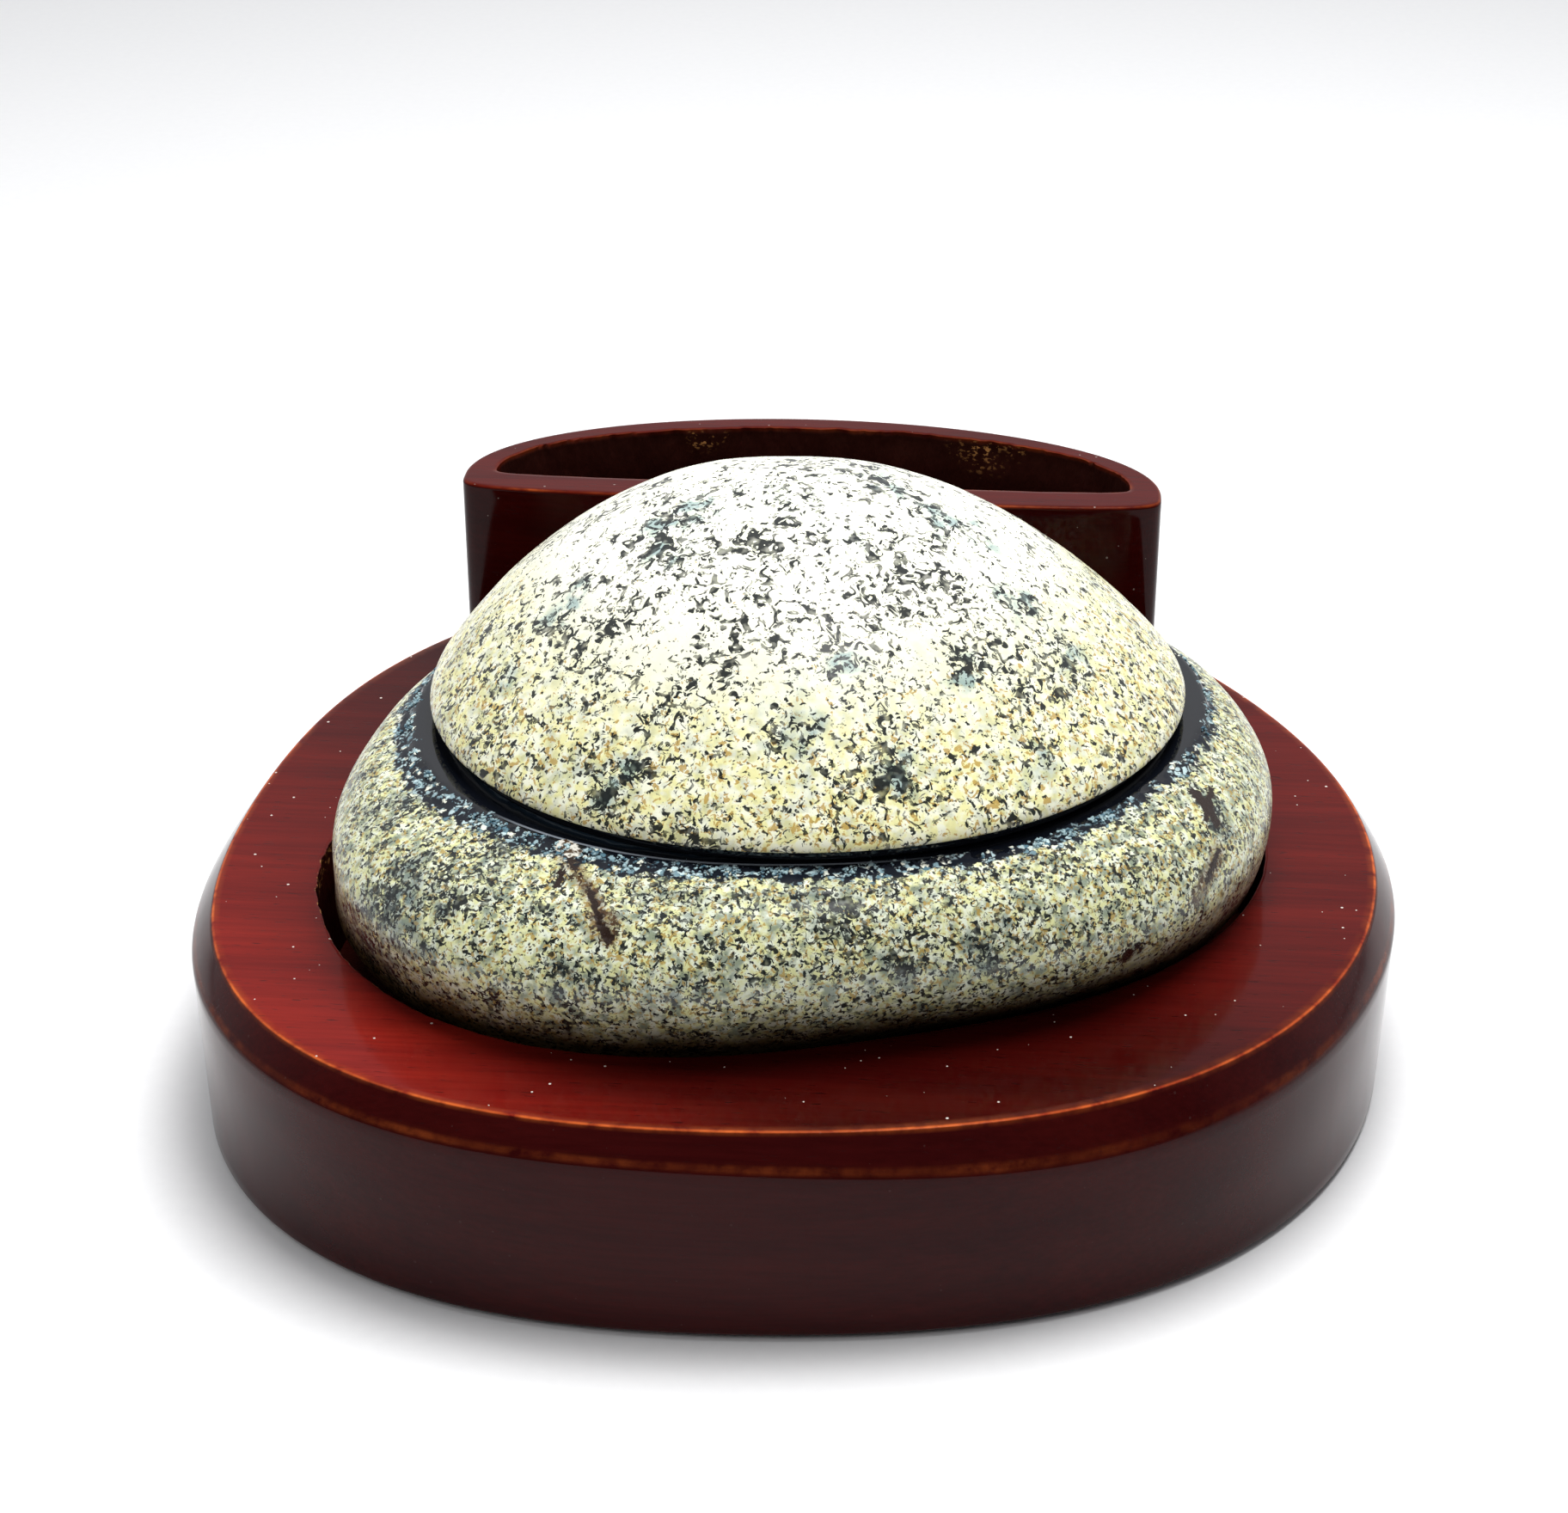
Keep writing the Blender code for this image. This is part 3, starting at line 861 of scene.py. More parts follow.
def crust_grain_material(name):
    """Loose-looking crust grains: dark to pale blue-grey by place."""
    made, wiring, shader = new_material(name)
    place = wiring.place_mm()
    tone = wiring.noise(place, 0.8, detail=2.0)
    colour = wiring.mix(wiring.between(tone, 0.38, 0.62), (0.05, 0.12, 0.17), (0.44, 0.60, 0.62))
    wiring.put(shader.inputs["Base Color"], colour)
    wiring.put(shader.inputs["Roughness"], wiring.between(tone, -0.3, 1.2))
    wiring.put(shader.inputs["Normal"], wiring.bump(wiring.noise(place, 4.0, detail=2.0), 0.05, 0.5))
    shader.inputs["IOR"].default_value = 1.52
    return made


def lacquer_material(name, depth):
    """Glossy red-brown lacquer over grain, rubbed through on edges, dusty, with rough carved walls.

    Painted light: a painted highlight along the rubbed edges, painted shade on the wall, chamfer and
    carved walls, and a painted sheen and painted shade on the top.
    """
    settings = bpy.context.scene.geode_wood
    made, wiring, shader = new_material(name)
    place = wiring.place_mm()
    # Painted shade: where the side mask is 1, on the wall and chamfer, the lacquer is painted much darker
    # and less red than on the top.
    side = wiring.mask("side")
    painted_side_shade = wiring.mix(side, (depth, depth, depth), (0.17 * depth, 0.24 * depth, 0.38 * depth))
    light = wiring.mix(1.0, tuple(settings.light), painted_side_shade, "MULTIPLY")
    dark = wiring.mix(1.0, tuple(settings.dark), painted_side_shade, "MULTIPLY")
    grain = wiring.group(shared("wood grain", grain_group), {"Vector": place, "Light": light, "Dark": dark})
    # Painted light on the top: where the mask is 0 the lacquer is painted 1.35 times brighter, a painted
    # sheen; where it is 1 it is painted down to about a quarter, painted shade and the stone's painted
    # shadow.
    painted_light_tone = wiring.mix(wiring.mask("painted_light"), (1.35, 1.4, 1.4), (0.25, 0.26, 0.30))
    lacquer = wiring.mix(1.0, grain["Color"], painted_light_tone, "MULTIPLY")
    patchy = wiring.noise(place, 0.06, detail=4.0)
    # Rubbed-through lacquer along the edges, which is also a painted highlight along the edge lines.
    rubbed = wiring.between(wiring.noise(place, 0.35, detail=4.0), 0.30, 0.60)
    worn = wiring.times(wiring.mask("rub"), rubbed)
    colour = wiring.mix(wiring.times(worn, 0.85), lacquer, tuple(settings.rub))
    # Painted shade: the carved walls are painted near black; the same mask also makes them rough and
    # chiselled.
    carved = wiring.mask("carved")
    colour = wiring.mix(wiring.times(carved, 0.85), colour, (0.022, 0.006, 0.004))
    splinter = wiring.noise(wiring.moved(place, scale=(0.8, 0.8, 1.2)), 1.0, detail=3.0, roughness=0.6)
    bare = wiring.times(wiring.mask("bare"), wiring.between(splinter, 0.56, 0.60))
    colour = wiring.mix(bare, colour, (0.58, 0.27, 0.09))
    dust = {"Vector": place, "Spacing": 2.6, "Radius": 0.32, "Share": 0.75}
    specks = wiring.group(shared("dust specks", dust_group), dust)["Mask"]
    specks = wiring.times(specks, wiring.mask("dust"))
    colour = wiring.mix(wiring.times(specks, 0.8), colour, (0.75, 0.68, 0.62))
    wiring.put(shader.inputs["Base Color"], colour)
    rough = wiring.plus(0.07, wiring.times(wiring.between(patchy, 0.35, 0.70), 0.06))
    rough = wiring.plus(rough, wiring.times(carved, 0.45))
    rough = wiring.plus(rough, wiring.times(specks, 0.5))
    wiring.put(shader.inputs["Roughness"], rough)
    chisel = wiring.noise(wiring.moved(place, scale=(1, 1, 0.35)), 0.9, detail=4.0, roughness=0.6)
    height = wiring.times(chisel, wiring.times(carved, 8.0))
    height = wiring.minus(height, wiring.times(grain["Pores"], 0.15))
    wavy = wiring.noise(wiring.moved(place, scale=(0.10, 0.10, 0.05)), 1.0, detail=1.0)
    height = wiring.plus(height, wiring.times(wavy, 1.2))
    wiring.put(shader.inputs["Normal"], wiring.bump(height, 0.08, 0.6))
    shader.inputs["IOR"].default_value = 1.21
    return made


def felt_material(name):
    """Dark pressed felt: matted fibres as two crossed noises."""
    made, wiring, shader = new_material(name)
    place = wiring.place_mm()
    first = wiring.noise(wiring.moved(place, scale=(0.6, 3.0, 3.0)), 1.0, detail=4.0)
    second = wiring.noise(wiring.moved(place, scale=(3.0, 0.6, 3.0)), 1.0, detail=4.0)
    fibres = wiring.math("MAXIMUM", first, second)
    colour = wiring.mix(wiring.between(fibres, 0.45, 0.75), (0.012, 0.011, 0.011), (0.075, 0.07, 0.068))
    wiring.put(shader.inputs["Base Color"], colour)
    wiring.put(shader.inputs["Roughness"], wiring.between(fibres, -0.6, 0.7))
    wiring.put(shader.inputs["Normal"], wiring.bump(fibres, 0.25, 0.8))
    shader.inputs["Sheen Weight"].default_value = 0.3
    return made


def brass_material(name):
    """Turned brass: fine rings round the screw, and dull tarnish in patches."""
    made, wiring, shader = new_material(name)
    place = wiring.place_mm()
    tarnish = wiring.between(wiring.noise(place, 0.5, detail=5.0), 0.42, 0.66)
    lines = wiring.noise(wiring.moved(place, scale=(0.4, 0.4, 9.0)), 1.0, detail=2.0)
    wiring.put(shader.inputs["Base Color"], wiring.mix(tarnish, (0.74, 0.55, 0.25), (0.33, 0.22, 0.09)))
    wiring.put(shader.inputs["Roughness"], wiring.plus(0.20, wiring.times(tarnish, 0.3)))
    wiring.put(shader.inputs["Normal"], wiring.bump(lines, 0.02, 0.5))
    shader.inputs["Metallic"].default_value = 1.0
    return made


def floor_material(name):
    """Plain pale floor with a barely visible tooth."""
    made, wiring, shader = new_material(name)
    place = wiring.place_mm()
    tooth = wiring.noise(place, 0.4, detail=3.0)
    wiring.put(shader.inputs["Base Color"], wiring.mix(tooth, (0.90, 0.90, 0.905), (0.94, 0.94, 0.94)))
    wiring.put(shader.inputs["Roughness"], wiring.between(tooth, -3.0, 1.4))
    shader.inputs["Specular IOR Level"].default_value = 0.2
    return made


# ---------------------------------------------------------------- stones


def stone_centre():
    """Centre of the stones' outlines: the lower stone's box, less its widest outline's own middle."""
    turn = angles(64)
    waist = smooth_reach(WAIST_REACH, turn)
    return middle_mm("lower_stone")[:2] - own_middle(flat_at(waist, turn))


def above_waist(turn, height):
    """Reach above the waist: it falls with the square of the height, to the cut's outline."""
    top = smooth_reach(CUT_REACH, turn)
    waist = smooth_reach(WAIST_REACH, turn)
    return waist - (waist - top) * np.clip((height - WAIST_Z) / (CUT_Z - WAIST_Z), 0, 1) ** 2


def lower_reach(turn, height):
    """Reach of the lower half at each height: full at the waist, drawn in to the cut and the foot.

    Above the waist it falls with the square of the height, and down to the wood with its power 1.7.
    Below the wood the slope fades with depth and an ellipse closes the underside.
    """
    waist = smooth_reach(WAIST_REACH, turn)[None]
    foot = smooth_reach(FOOT_REACH, turn)[None]
    z = np.asarray(height, float)[:, None]
    run = WAIST_Z - PLINTH_TOP
    above = above_waist(turn, z)
    flank = waist - (waist - foot) * np.clip((WAIST_Z - z) / run, 0, 1) ** 1.7
    down = np.clip(PLINTH_TOP - z, 0, UNDERSIDE_DEPTH)
    slope = 1.7 * (waist - foot) / run
    drawn = foot - slope * down * np.exp(-down / FOOT_EASE)
    under = drawn * np.sqrt(1 - (down / UNDERSIDE_DEPTH) ** 2)
    return np.where(z >= WAIST_Z, above, np.where(z >= PLINTH_TOP, flank, under))


def lid_reach(turn, rise):
    """Reach of the domed skin: its edge times sqrt(1 - rise^1.1), less an elliptic round at the bottom."""
    edge = smooth_reach(LID_REACH, turn)[None]
    rise = np.asarray(rise, float)[:, None]
    depth, height = EDGE_ROUND
    near = np.clip(1 - rise * DOME_HEIGHT / height, 0, 1)
    return edge * np.sqrt(np.clip(1 - rise**1.1, 0, 1)) - depth * (1 - np.sqrt(1 - near**2))


def spots_on(rows, spots):
    """A mask, 1 at each spot (x, y, z, radius) and 0 from its radius away, on points that wander."""
    mask = np.zeros(rows.shape[:2])
    wander = np.stack([relief(rows, 3.6, seed) for seed in (201, 202, 203)], -1)
    for x, y, z, radius in spots:
        away = np.linalg.norm(rows + 0.6 * radius * wander - np.array([x, y, z]), axis=-1)
        mask = np.maximum(mask, 1 - smoothstep(away, 0.25 * radius, radius))
    return mask


def streak_on(rows, path, width):
    """A mask along the lines through a path's points: 1 on them, and 0 from the width away."""
    mask = np.zeros(rows.shape[:2])
    path = np.array(path, float)
    for start, end in zip(path, path[1:]):
        along = end - start
        share = np.clip(((rows - start) @ along) / (along @ along), 0, 1)
        away = np.linalg.norm(rows - start - share[..., None] * along, axis=-1)
        mask = np.maximum(mask, 1 - smoothstep(away, 0.3 * width, width))
    return mask


def on_stone(turn_deg, height, inside=0.0):
    """A point on the lower half's flank, or that far in from it over the cut."""
    turn = np.array([math.radians(turn_deg)])
    reach = lower_reach(turn, [height]) - inside
    drop = 0 if inside else flank_wear(height)
    return rings_at(reach, turn, [height - drop], stone_centre())[0, 0]


def flank_wear(height):
    """How far the flank's top is worn down: fully at the cut, fading below it."""
    return WORN * smoothstep(height, CUT_Z - WEAR_FADE, CUT_Z)


def cut_wear(inward, lip):
    """How far the cut is worn down: fully at its edge, fading as a parabola to the lip."""
    return WORN * np.clip(1 - inward / (lip + 0.3), 0, 1) ** 2


def crust_width(turn):
    """How wide the crust is: widest at the left front, narrow at the back right."""
    return 2.7 + 1.2 * np.cos(turn - math.radians(215))


def crack_path():
    """The crack in the front left flank, from the cut downwards."""
    return [
        on_stone(237, CUT_Z, 3.2),
        on_stone(242, CUT_Z - 0.9, 0.6),
        on_stone(244.5, 61.3),
        on_stone(247.8, 58.2),
        on_stone(249.4, 56.8),
    ]


def rust_on(rows):
    """Rust along the crack, thickest at its two ends, and a fainter streak on the right flank."""
    path = crack_path()
    line = streak_on(rows, path, 2.1)
    ends = spots_on(rows, [(*path[0], 3.8), (*on_stone(248.5, 58.2), 3.0)])
    right = streak_on(rows, [on_stone(338, 54.6), on_stone(335, 53.0), on_stone(331, 50.8)], 2.4)
    dot = spots_on(rows, [(*on_stone(319, 45.5), 1.8)])
    return np.clip(np.maximum.reduce([line, 0.9 * ends, 0.8 * right, dot]), 0, 1)


def crack_lines():
    """Dark lines (start, end, width): the crack and its two ends, then the right flank's swirl and dot."""
    path = crack_path()
    return [(start, end, 0.66) for start, end in zip(path, path[1:])] + [
        (path[3], path[4], 0.92),
        (on_stone(238.5, CUT_Z - 0.5, 1.5), on_stone(239.4, 61.6), 0.65),
        (on_stone(342.8, 61.4), on_stone(341, 57.5), 1.2),
        (on_stone(346, 60.4), on_stone(340, 58.6), 0.8),
        (on_stone(338, 54.6), on_stone(333.5, 52.0), 0.65),
        (on_stone(319, 46.4), on_stone(319, 45.4), 1.0),
    ]


def hollow_rows(mouth, turn, face, depth, centre, steps, seed):
    """Rows of the hollow from its mouth to near its end: a quarter of an ellipse, with knobbly relief."""
    swing = np.linspace(0, NEAR_POLE, steps) * math.pi / 2
    rows = rings_at(mouth[None] * np.cos(swing)[:, None], turn, face + depth * np.sin(swing), centre)
    bulge = 0.9 * relief(rows, 5.5, seed) + 0.45 * relief(rows, 2.4, seed + 1)
    rows[..., 2] += bulge * np.sin(swing)[:, None] * (1 - 0.3 * np.sin(swing)[:, None])
    return rows


def skin_relief(rows):
    """Height of a water-worn skin: slow swells, small dents and a fine orange-peel."""
    return 0.16 * relief(rows, 17.0, 3) + 0.07 * relief(rows, 6.0, 4) + 0.022 * relief(rows, 2.2, 5)


class GEODE_OT_lower_stone(bpy.types.Operator):
    """Build the bedded lower half: worn skin, crystalline crust, polished cut and hollow"""

    bl_idname = "geode.lower_stone"
    bl_label = "Lower Stone"

    def execute(self, context):
        turn = angles(STONE_TURNS)
        centre = stone_centre()
        deepest = math.asin((PLINTH_TOP - STONE_BASE) / UNDERSIDE_DEPTH)
        under = PLINTH_TOP - UNDERSIDE_DEPTH * np.sin(np.linspace(deepest, 0, 18))
        flank = np.linspace(PLINTH_TOP, WAIST_Z, 30)[1:]
        upper = WAIST_Z + (CUT_Z - 0.25 - WAIST_Z) * np.linspace(0, 1, 62)[1:] ** 0.85
        heights = np.concatenate([under, flank, upper])
        outside = rings_at(lower_reach(turn, heights), turn, heights, centre)
        edge = smooth_reach(CUT_REACH, turn)
        mouth = HOLLOW_SHARE * edge
        share = np.linspace(0, 1, 34)[None].T ** 1.25
        face_reach = (edge - 0.3)[None] * (1 - share) + mouth[None] * share
        face = rings_at(face_reach, turn, np.full(len(share), CUT_Z), centre)
        bowl = hollow_rows(mouth, turn, CUT_Z, -LOWER_HOLLOW, centre, 36, 21)[1:]
        rows = np.concatenate([outside, face, bowl])
        count = len(outside)

        along = run_along(rows)
        inward = along - along[count][None]
        normal = row_normals(rows)
        off_cut = smoothstep(-inward, 0.5, 2.5) * smoothstep(rows[..., 2], STONE_BASE, STONE_BASE + 4)
        height = (skin_relief(rows) - 0.18) * off_cut
        wide = crust_width(turn)[None]
        lip = smooth_reach(CREEP, turn)[None]
        ragged = smoothstep(inward, lip - 1.4 * wide, lip - 0.2 * wide)
        ragged *= 1 - smoothstep(inward, lip - 0.3, lip + 0.3)
        lumps = 0.26 * relief(rows, 1.7, 8) + 0.15 * relief(rows, 0.9, 9) - 0.22
        height += ragged * lumps
        crack = streak_on(rows, crack_path(), 0.9) * (inward < 0)
        height -= 0.45 * crack * (0.6 + 0.4 * relief(rows, 1.2, 12))
        rows[:count] += normal[:count] * height[:count, :, None]
        rows[count:, :, 2] += (np.minimum(0, ragged * lumps) - cut_wear(inward, lip))[count:]
        rows[:count, :, 2] -= flank_wear(rows[:count, :, 2])

        spots = [
            (*on_stone(342, 59.5), 6.5),
            (*on_stone(340, 56.0), 5.0),
            (*on_stone(222, 54.0), 13.0),
            (*on_stone(214, 45.0), 11.0),
            (*on_stone(245, 50.5), 4.5),
            (*on_stone(258, 50.5), 3.5),
            (*on_stone(287, 51.0), 6.0),
            (*on_stone(298, 54.0), 5.5),
            (*on_stone(319, 46.0), 2.5),
            (*on_stone(209, 60.5), 5.0),
            (*on_stone(229, 62.0), 5.0),
            (*on_stone(35, 56.0), 9.0),
            (*on_stone(92, 50.0), 11.0),
            (*on_stone(140, 56.0), 8.0),
        ]
        soft = smoothstep(relief(rows, 9.0, 40), 0.25, 0.8)
        # Painted shade: darkest at the plinth's top and fading out 13 mm above it, with a wavering edge.
        painted_low_shade = 1 - smoothstep(rows[..., 2] + 1.6 * relief(rows, 5.0, 41), PLINTH_TOP, PLINTH_TOP + 13)
        masks = {
            "inward": inward,
            "crown": np.zeros(rows.shape[:2]),
            "patch": np.clip(spots_on(rows, spots) + 0.45 * soft, 0, 1.2),
            "painted_low_shade": painted_low_shade,
            "rust": rust_on(rows),
            "crust": np.broadcast_to(wide, rows.shape[:2]),
            "lip": np.broadcast_to(lip, rows.shape[:2]),
        }
        first = [*centre, STONE_BASE]
        last = [*centre, CUT_Z - LOWER_HOLLOW]
        mesh = ring_surface("lower_stone_surface", rows, first, last, masks)
        tuning = {
            "size": 0.80,
            "amount": 0.450,
            "rust": 0.425,
            "grey": 0.85,
            "bare": 0.0,
            "bold": 0.372,
            "lift": 0.08,
            "tint": (0.16, 0.22, 0.24),
            "tinge": (0.82, 0.86, 0.84),
            "ragged": 8.5,
            "rough": 0.24,
        }
        crumbs = [(on_stone(235.2, CUT_Z, 5.0), on_stone(237.4, CUT_Z, 4.0), 1.5)]
        finish = stone_material("lower stone", tuning, crack_lines(), crumbs)
        made = bpy.data.objects.new("lower_stone_surface", mesh)
        show(made, "lower_half", finish, ["lower_stone"], 60)
        return {"FINISHED"}


class GEODE_OT_upper_stone(bpy.types.Operator):
    """Build the lid: hollow, polished face, dark margin and domed worn skin"""

    bl_idname = "geode.upper_stone"
    bl_label = "Upper Stone"

    def execute(self, context):
        turn = angles(STONE_TURNS)
        centre = stone_centre()
        edge = smooth_reach(LID_REACH, turn)
        outer = edge - EDGE_ROUND[0] - MARGIN_INSET
        mouth = HOLLOW_SHARE * outer
        bowl = hollow_rows(mouth, turn, LID_BASE, UPPER_HOLLOW, centre, 34, 31)[::-1]
        share = np.linspace(0, 1, 26)[1:, None]
        face_reach = mouth[None] * (1 - share) + (outer - 0.25)[None] * share
        face = rings_at(face_reach, turn, np.full(len(share), LID_BASE), centre)
        lift = np.array([0.25, 0.8, 1.4, SKIN_LIFT - 0.35])
        margin = rings_at(np.repeat(outer[None], len(lift), 0), turn, LID_BASE + lift, centre)
        low = EDGE_ROUND[1] / DOME_HEIGHT
        swing = np.linspace(0, NEAR_POLE, 104) * math.pi / 2
        rounded = low * np.linspace(0, 1, 16)[:-1] ** 2
        rise = np.concatenate([rounded, low + (1 - low) * np.sin(swing) ** 1.5])
        middle = centre + DOME_SHIFT * rise[:, None]
        dome = rings_at(lid_reach(turn, rise), turn, SKIN_EDGE + DOME_HEIGHT * rise, middle)
        rows = np.concatenate([bowl, face, margin, dome])
        lip = len(bowl) + len(face)
        start = lip + len(margin)

        along = run_along(rows)
        inward = along[lip - 1][None] - along
        inward[lip:start] = 2.0
        inward[start:] = -0.3 - (along[start:] - along[start])
        crown_share = np.clip((rows[..., 2] - SKIN_EDGE) / DOME_HEIGHT, 0, 1)
        height = skin_relief(rows) - 0.18
        height *= smoothstep(crown_share, 0.0, 0.04) * (1 - smoothstep(crown_share, 0.985, 1.0))
        height[:start] = 0
        rows += row_normals(rows) * height[..., None]

        spots = [
            (-36.8, -29.9, 86.9, 6.5),
            (-19.3, -18.2, 98.8, 8.0),
            (23.2, -11.4, 97.3, 8.0),
            (28.8, -12.0, 94.8, 6.0),
            (44.6, -27.6, 81.4, 6.5),
            (27.2, -40.1, 85.4, 6.5),
            (18.9, -57.6, 74.7, 6.5),
            (36.1, -23.8, 88.3, 5.0),
            (3.0, -56.3, 79.3, 6.5),
            (7.5, -45.8, 87.4, 5.0),
            (39.7, -47.6, 73.2, 5.5),
            (-24.7, -58.2, 73.1, 6.0),
            (-45.4, -34.7, 78.3, 5.5),
            (-19.9, -26.3, 96.4, 5.5),
            (13.1, -5.9, 100.6, 5.0),
            (-22.0, 22.0, 94.0, 8.0),
            (20.0, 28.0, 88.0, 9.0),
            (-48.0, 8.0, 80.0, 7.0),
            (0.0, 38.0, 80.0, 8.0),
        ]
        # Crown mask, rising towards the top of the dome; the whiter ground that it gives is partly a
        # painted highlight.
        crown = smoothstep(crown_share + 0.06 * relief(rows, 14.0, 61), 0.25, 0.80)
        soft = smoothstep(relief(rows, 8.0, 44), 0.3, 0.8)
        none = np.zeros(rows.shape[:2])
        masks = {
            "inward": inward,
            "crown": crown,
            "patch": np.clip(spots_on(rows, spots) + 0.25 * soft, 0, 1.1),
            # painted shade, at a third strength, along the lid's lower edge
            "painted_low_shade": 0.35 * (1 - smoothstep(crown_share, 0.0, 0.07)),
            "rust": none,
            "crust": none,
            "lip": none,
        }
        first = [*centre, LID_BASE + UPPER_HOLLOW]
        last = [*(centre + DOME_SHIFT), SKIN_EDGE + DOME_HEIGHT]
        mesh = ring_surface("upper_stone_surface", rows, first, last, masks)
        tuning = {
            "size": 1.0,
            "amount": 0.420,
            "rust": 0.415,
            "grey": 0.36,
            "bare": 0.062,
            "bold": 0.375,
            "lift": 0.085,
            "tint": (0.17, 0.33, 0.38),
            "tinge": (1.0, 1.0, 0.96),
            "ragged": 0.0,
            "rough": 0.20,
        }
        finish = stone_material("upper stone", tuning)
        made = bpy.data.objects.new("upper_stone_surface", mesh)
        show(made, "upper_half", finish, ["upper_stone"], 60)
        return {"FINISHED"}


class GEODE_OT_crust(bpy.types.Operator):
    """Scatter small rounded grains along the ragged edge of the polished cut"""

    bl_idname = "geode.crust"
    bl_label = "Crust Grains"

    def execute(self, context):
        random = np.random.default_rng(77)
        turn = random.uniform(0, 2 * math.pi, 3600)
        reach = smooth_reach(CUT_REACH, turn)
        ring = raised(flat_at(reach, turn), 0)
        turn = turn[relief(ring, 2.6, 79) + 0.6 * relief(ring, 1.1, 80) > 0.30]
        count = len(turn)
        wide = crust_width(turn)
        lip = smooth_reach(CREEP, turn)
        spread = 0.14 + 0.36 * random.beta(1.2, 3.0, count)
        inward = lip + 0.2 - wide * random.beta(1.0, 2.0, count)
        height = CUT_Z + 0.62 * np.minimum(inward, 0)
        reach = above_waist(turn, height) - np.maximum(inward, 0) - spread * 0.6
        height = height - cut_wear(np.maximum(inward, 0), lip) - spread * 0.4
        places = raised(flat_at(reach, turn, stone_centre()), height)
        outward = np.column_stack([np.cos(turn), np.sin(turn), np.full(count, 0.9)])
        shape, faces = lump_shape()
        sizes = spread[:, None] * random.uniform(0.75, 1.2, (count, 3))
        points, corners, sides = many_of(shape, faces, places, frames_along(outward, 78), sizes)
        points[:, 2] = np.minimum(points[:, 2], CUT_Z)
        mesh = mesh_from("crust_grains", points, corners, sides)
        made = bpy.data.objects.new("crust_grains", mesh)
        show(made, "lower_half", crust_grain_material("crust grain"))
        return {"FINISHED"}


def lump_shape():
    """A 20-sided lump, an icosahedron: 12 points from the golden rectangle, radius 1."""
    gold = (1 + math.sqrt(5)) / 2
    flat = [(-1, gold), (1, gold), (-1, -gold), (1, -gold)]
    points = [(a, b, 0) for a, b in flat] + [(0, a, b) for a, b in flat] + [(b, 0, a) for a, b in flat]
    points = np.array(points, float) / math.hypot(1, gold)
    near = np.linalg.norm(points[:, None] - points[None], axis=-1) < 1.1
    faces = []
    for a in range(12):
        for b in range(a + 1, 12):
            for c in range(b + 1, 12):
                if near[a, b] and near[b, c] and near[a, c]:
                    square = np.cross(points[b] - points[a], points[c] - points[a]) @ points[a]
                    faces.append((a, b, c) if square > 0 else (a, c, b))
    return points, np.array(faces)


def crystal_shape():
    """A six-sided prism of height 1 with a pointed tip, standing on a closed foot a little below 0."""
    ring = np.array([(math.cos(a), math.sin(a)) for a in angles(6)])
    foot = np.column_stack([0.30 * ring, np.full(6, -0.25)])
    shoulder = np.column_stack([0.26 * ring, np.full(6, 0.62)])
    points = np.vstack([foot, shoulder, [[0.04, 0.02, 1.0]]])
    j = np.arange(6)
    after = (j + 1) % 6
    lower = np.column_stack([j, after, after + 6])
    upper = np.column_stack([j, after + 6, j + 6])
    tip = np.column_stack([j + 6, after + 6, np.full(6, 12)])
    base = np.array([(0, i + 1, i) for i in range(1, 5)])
    return points, np.vstack([lower, upper, tip, base])


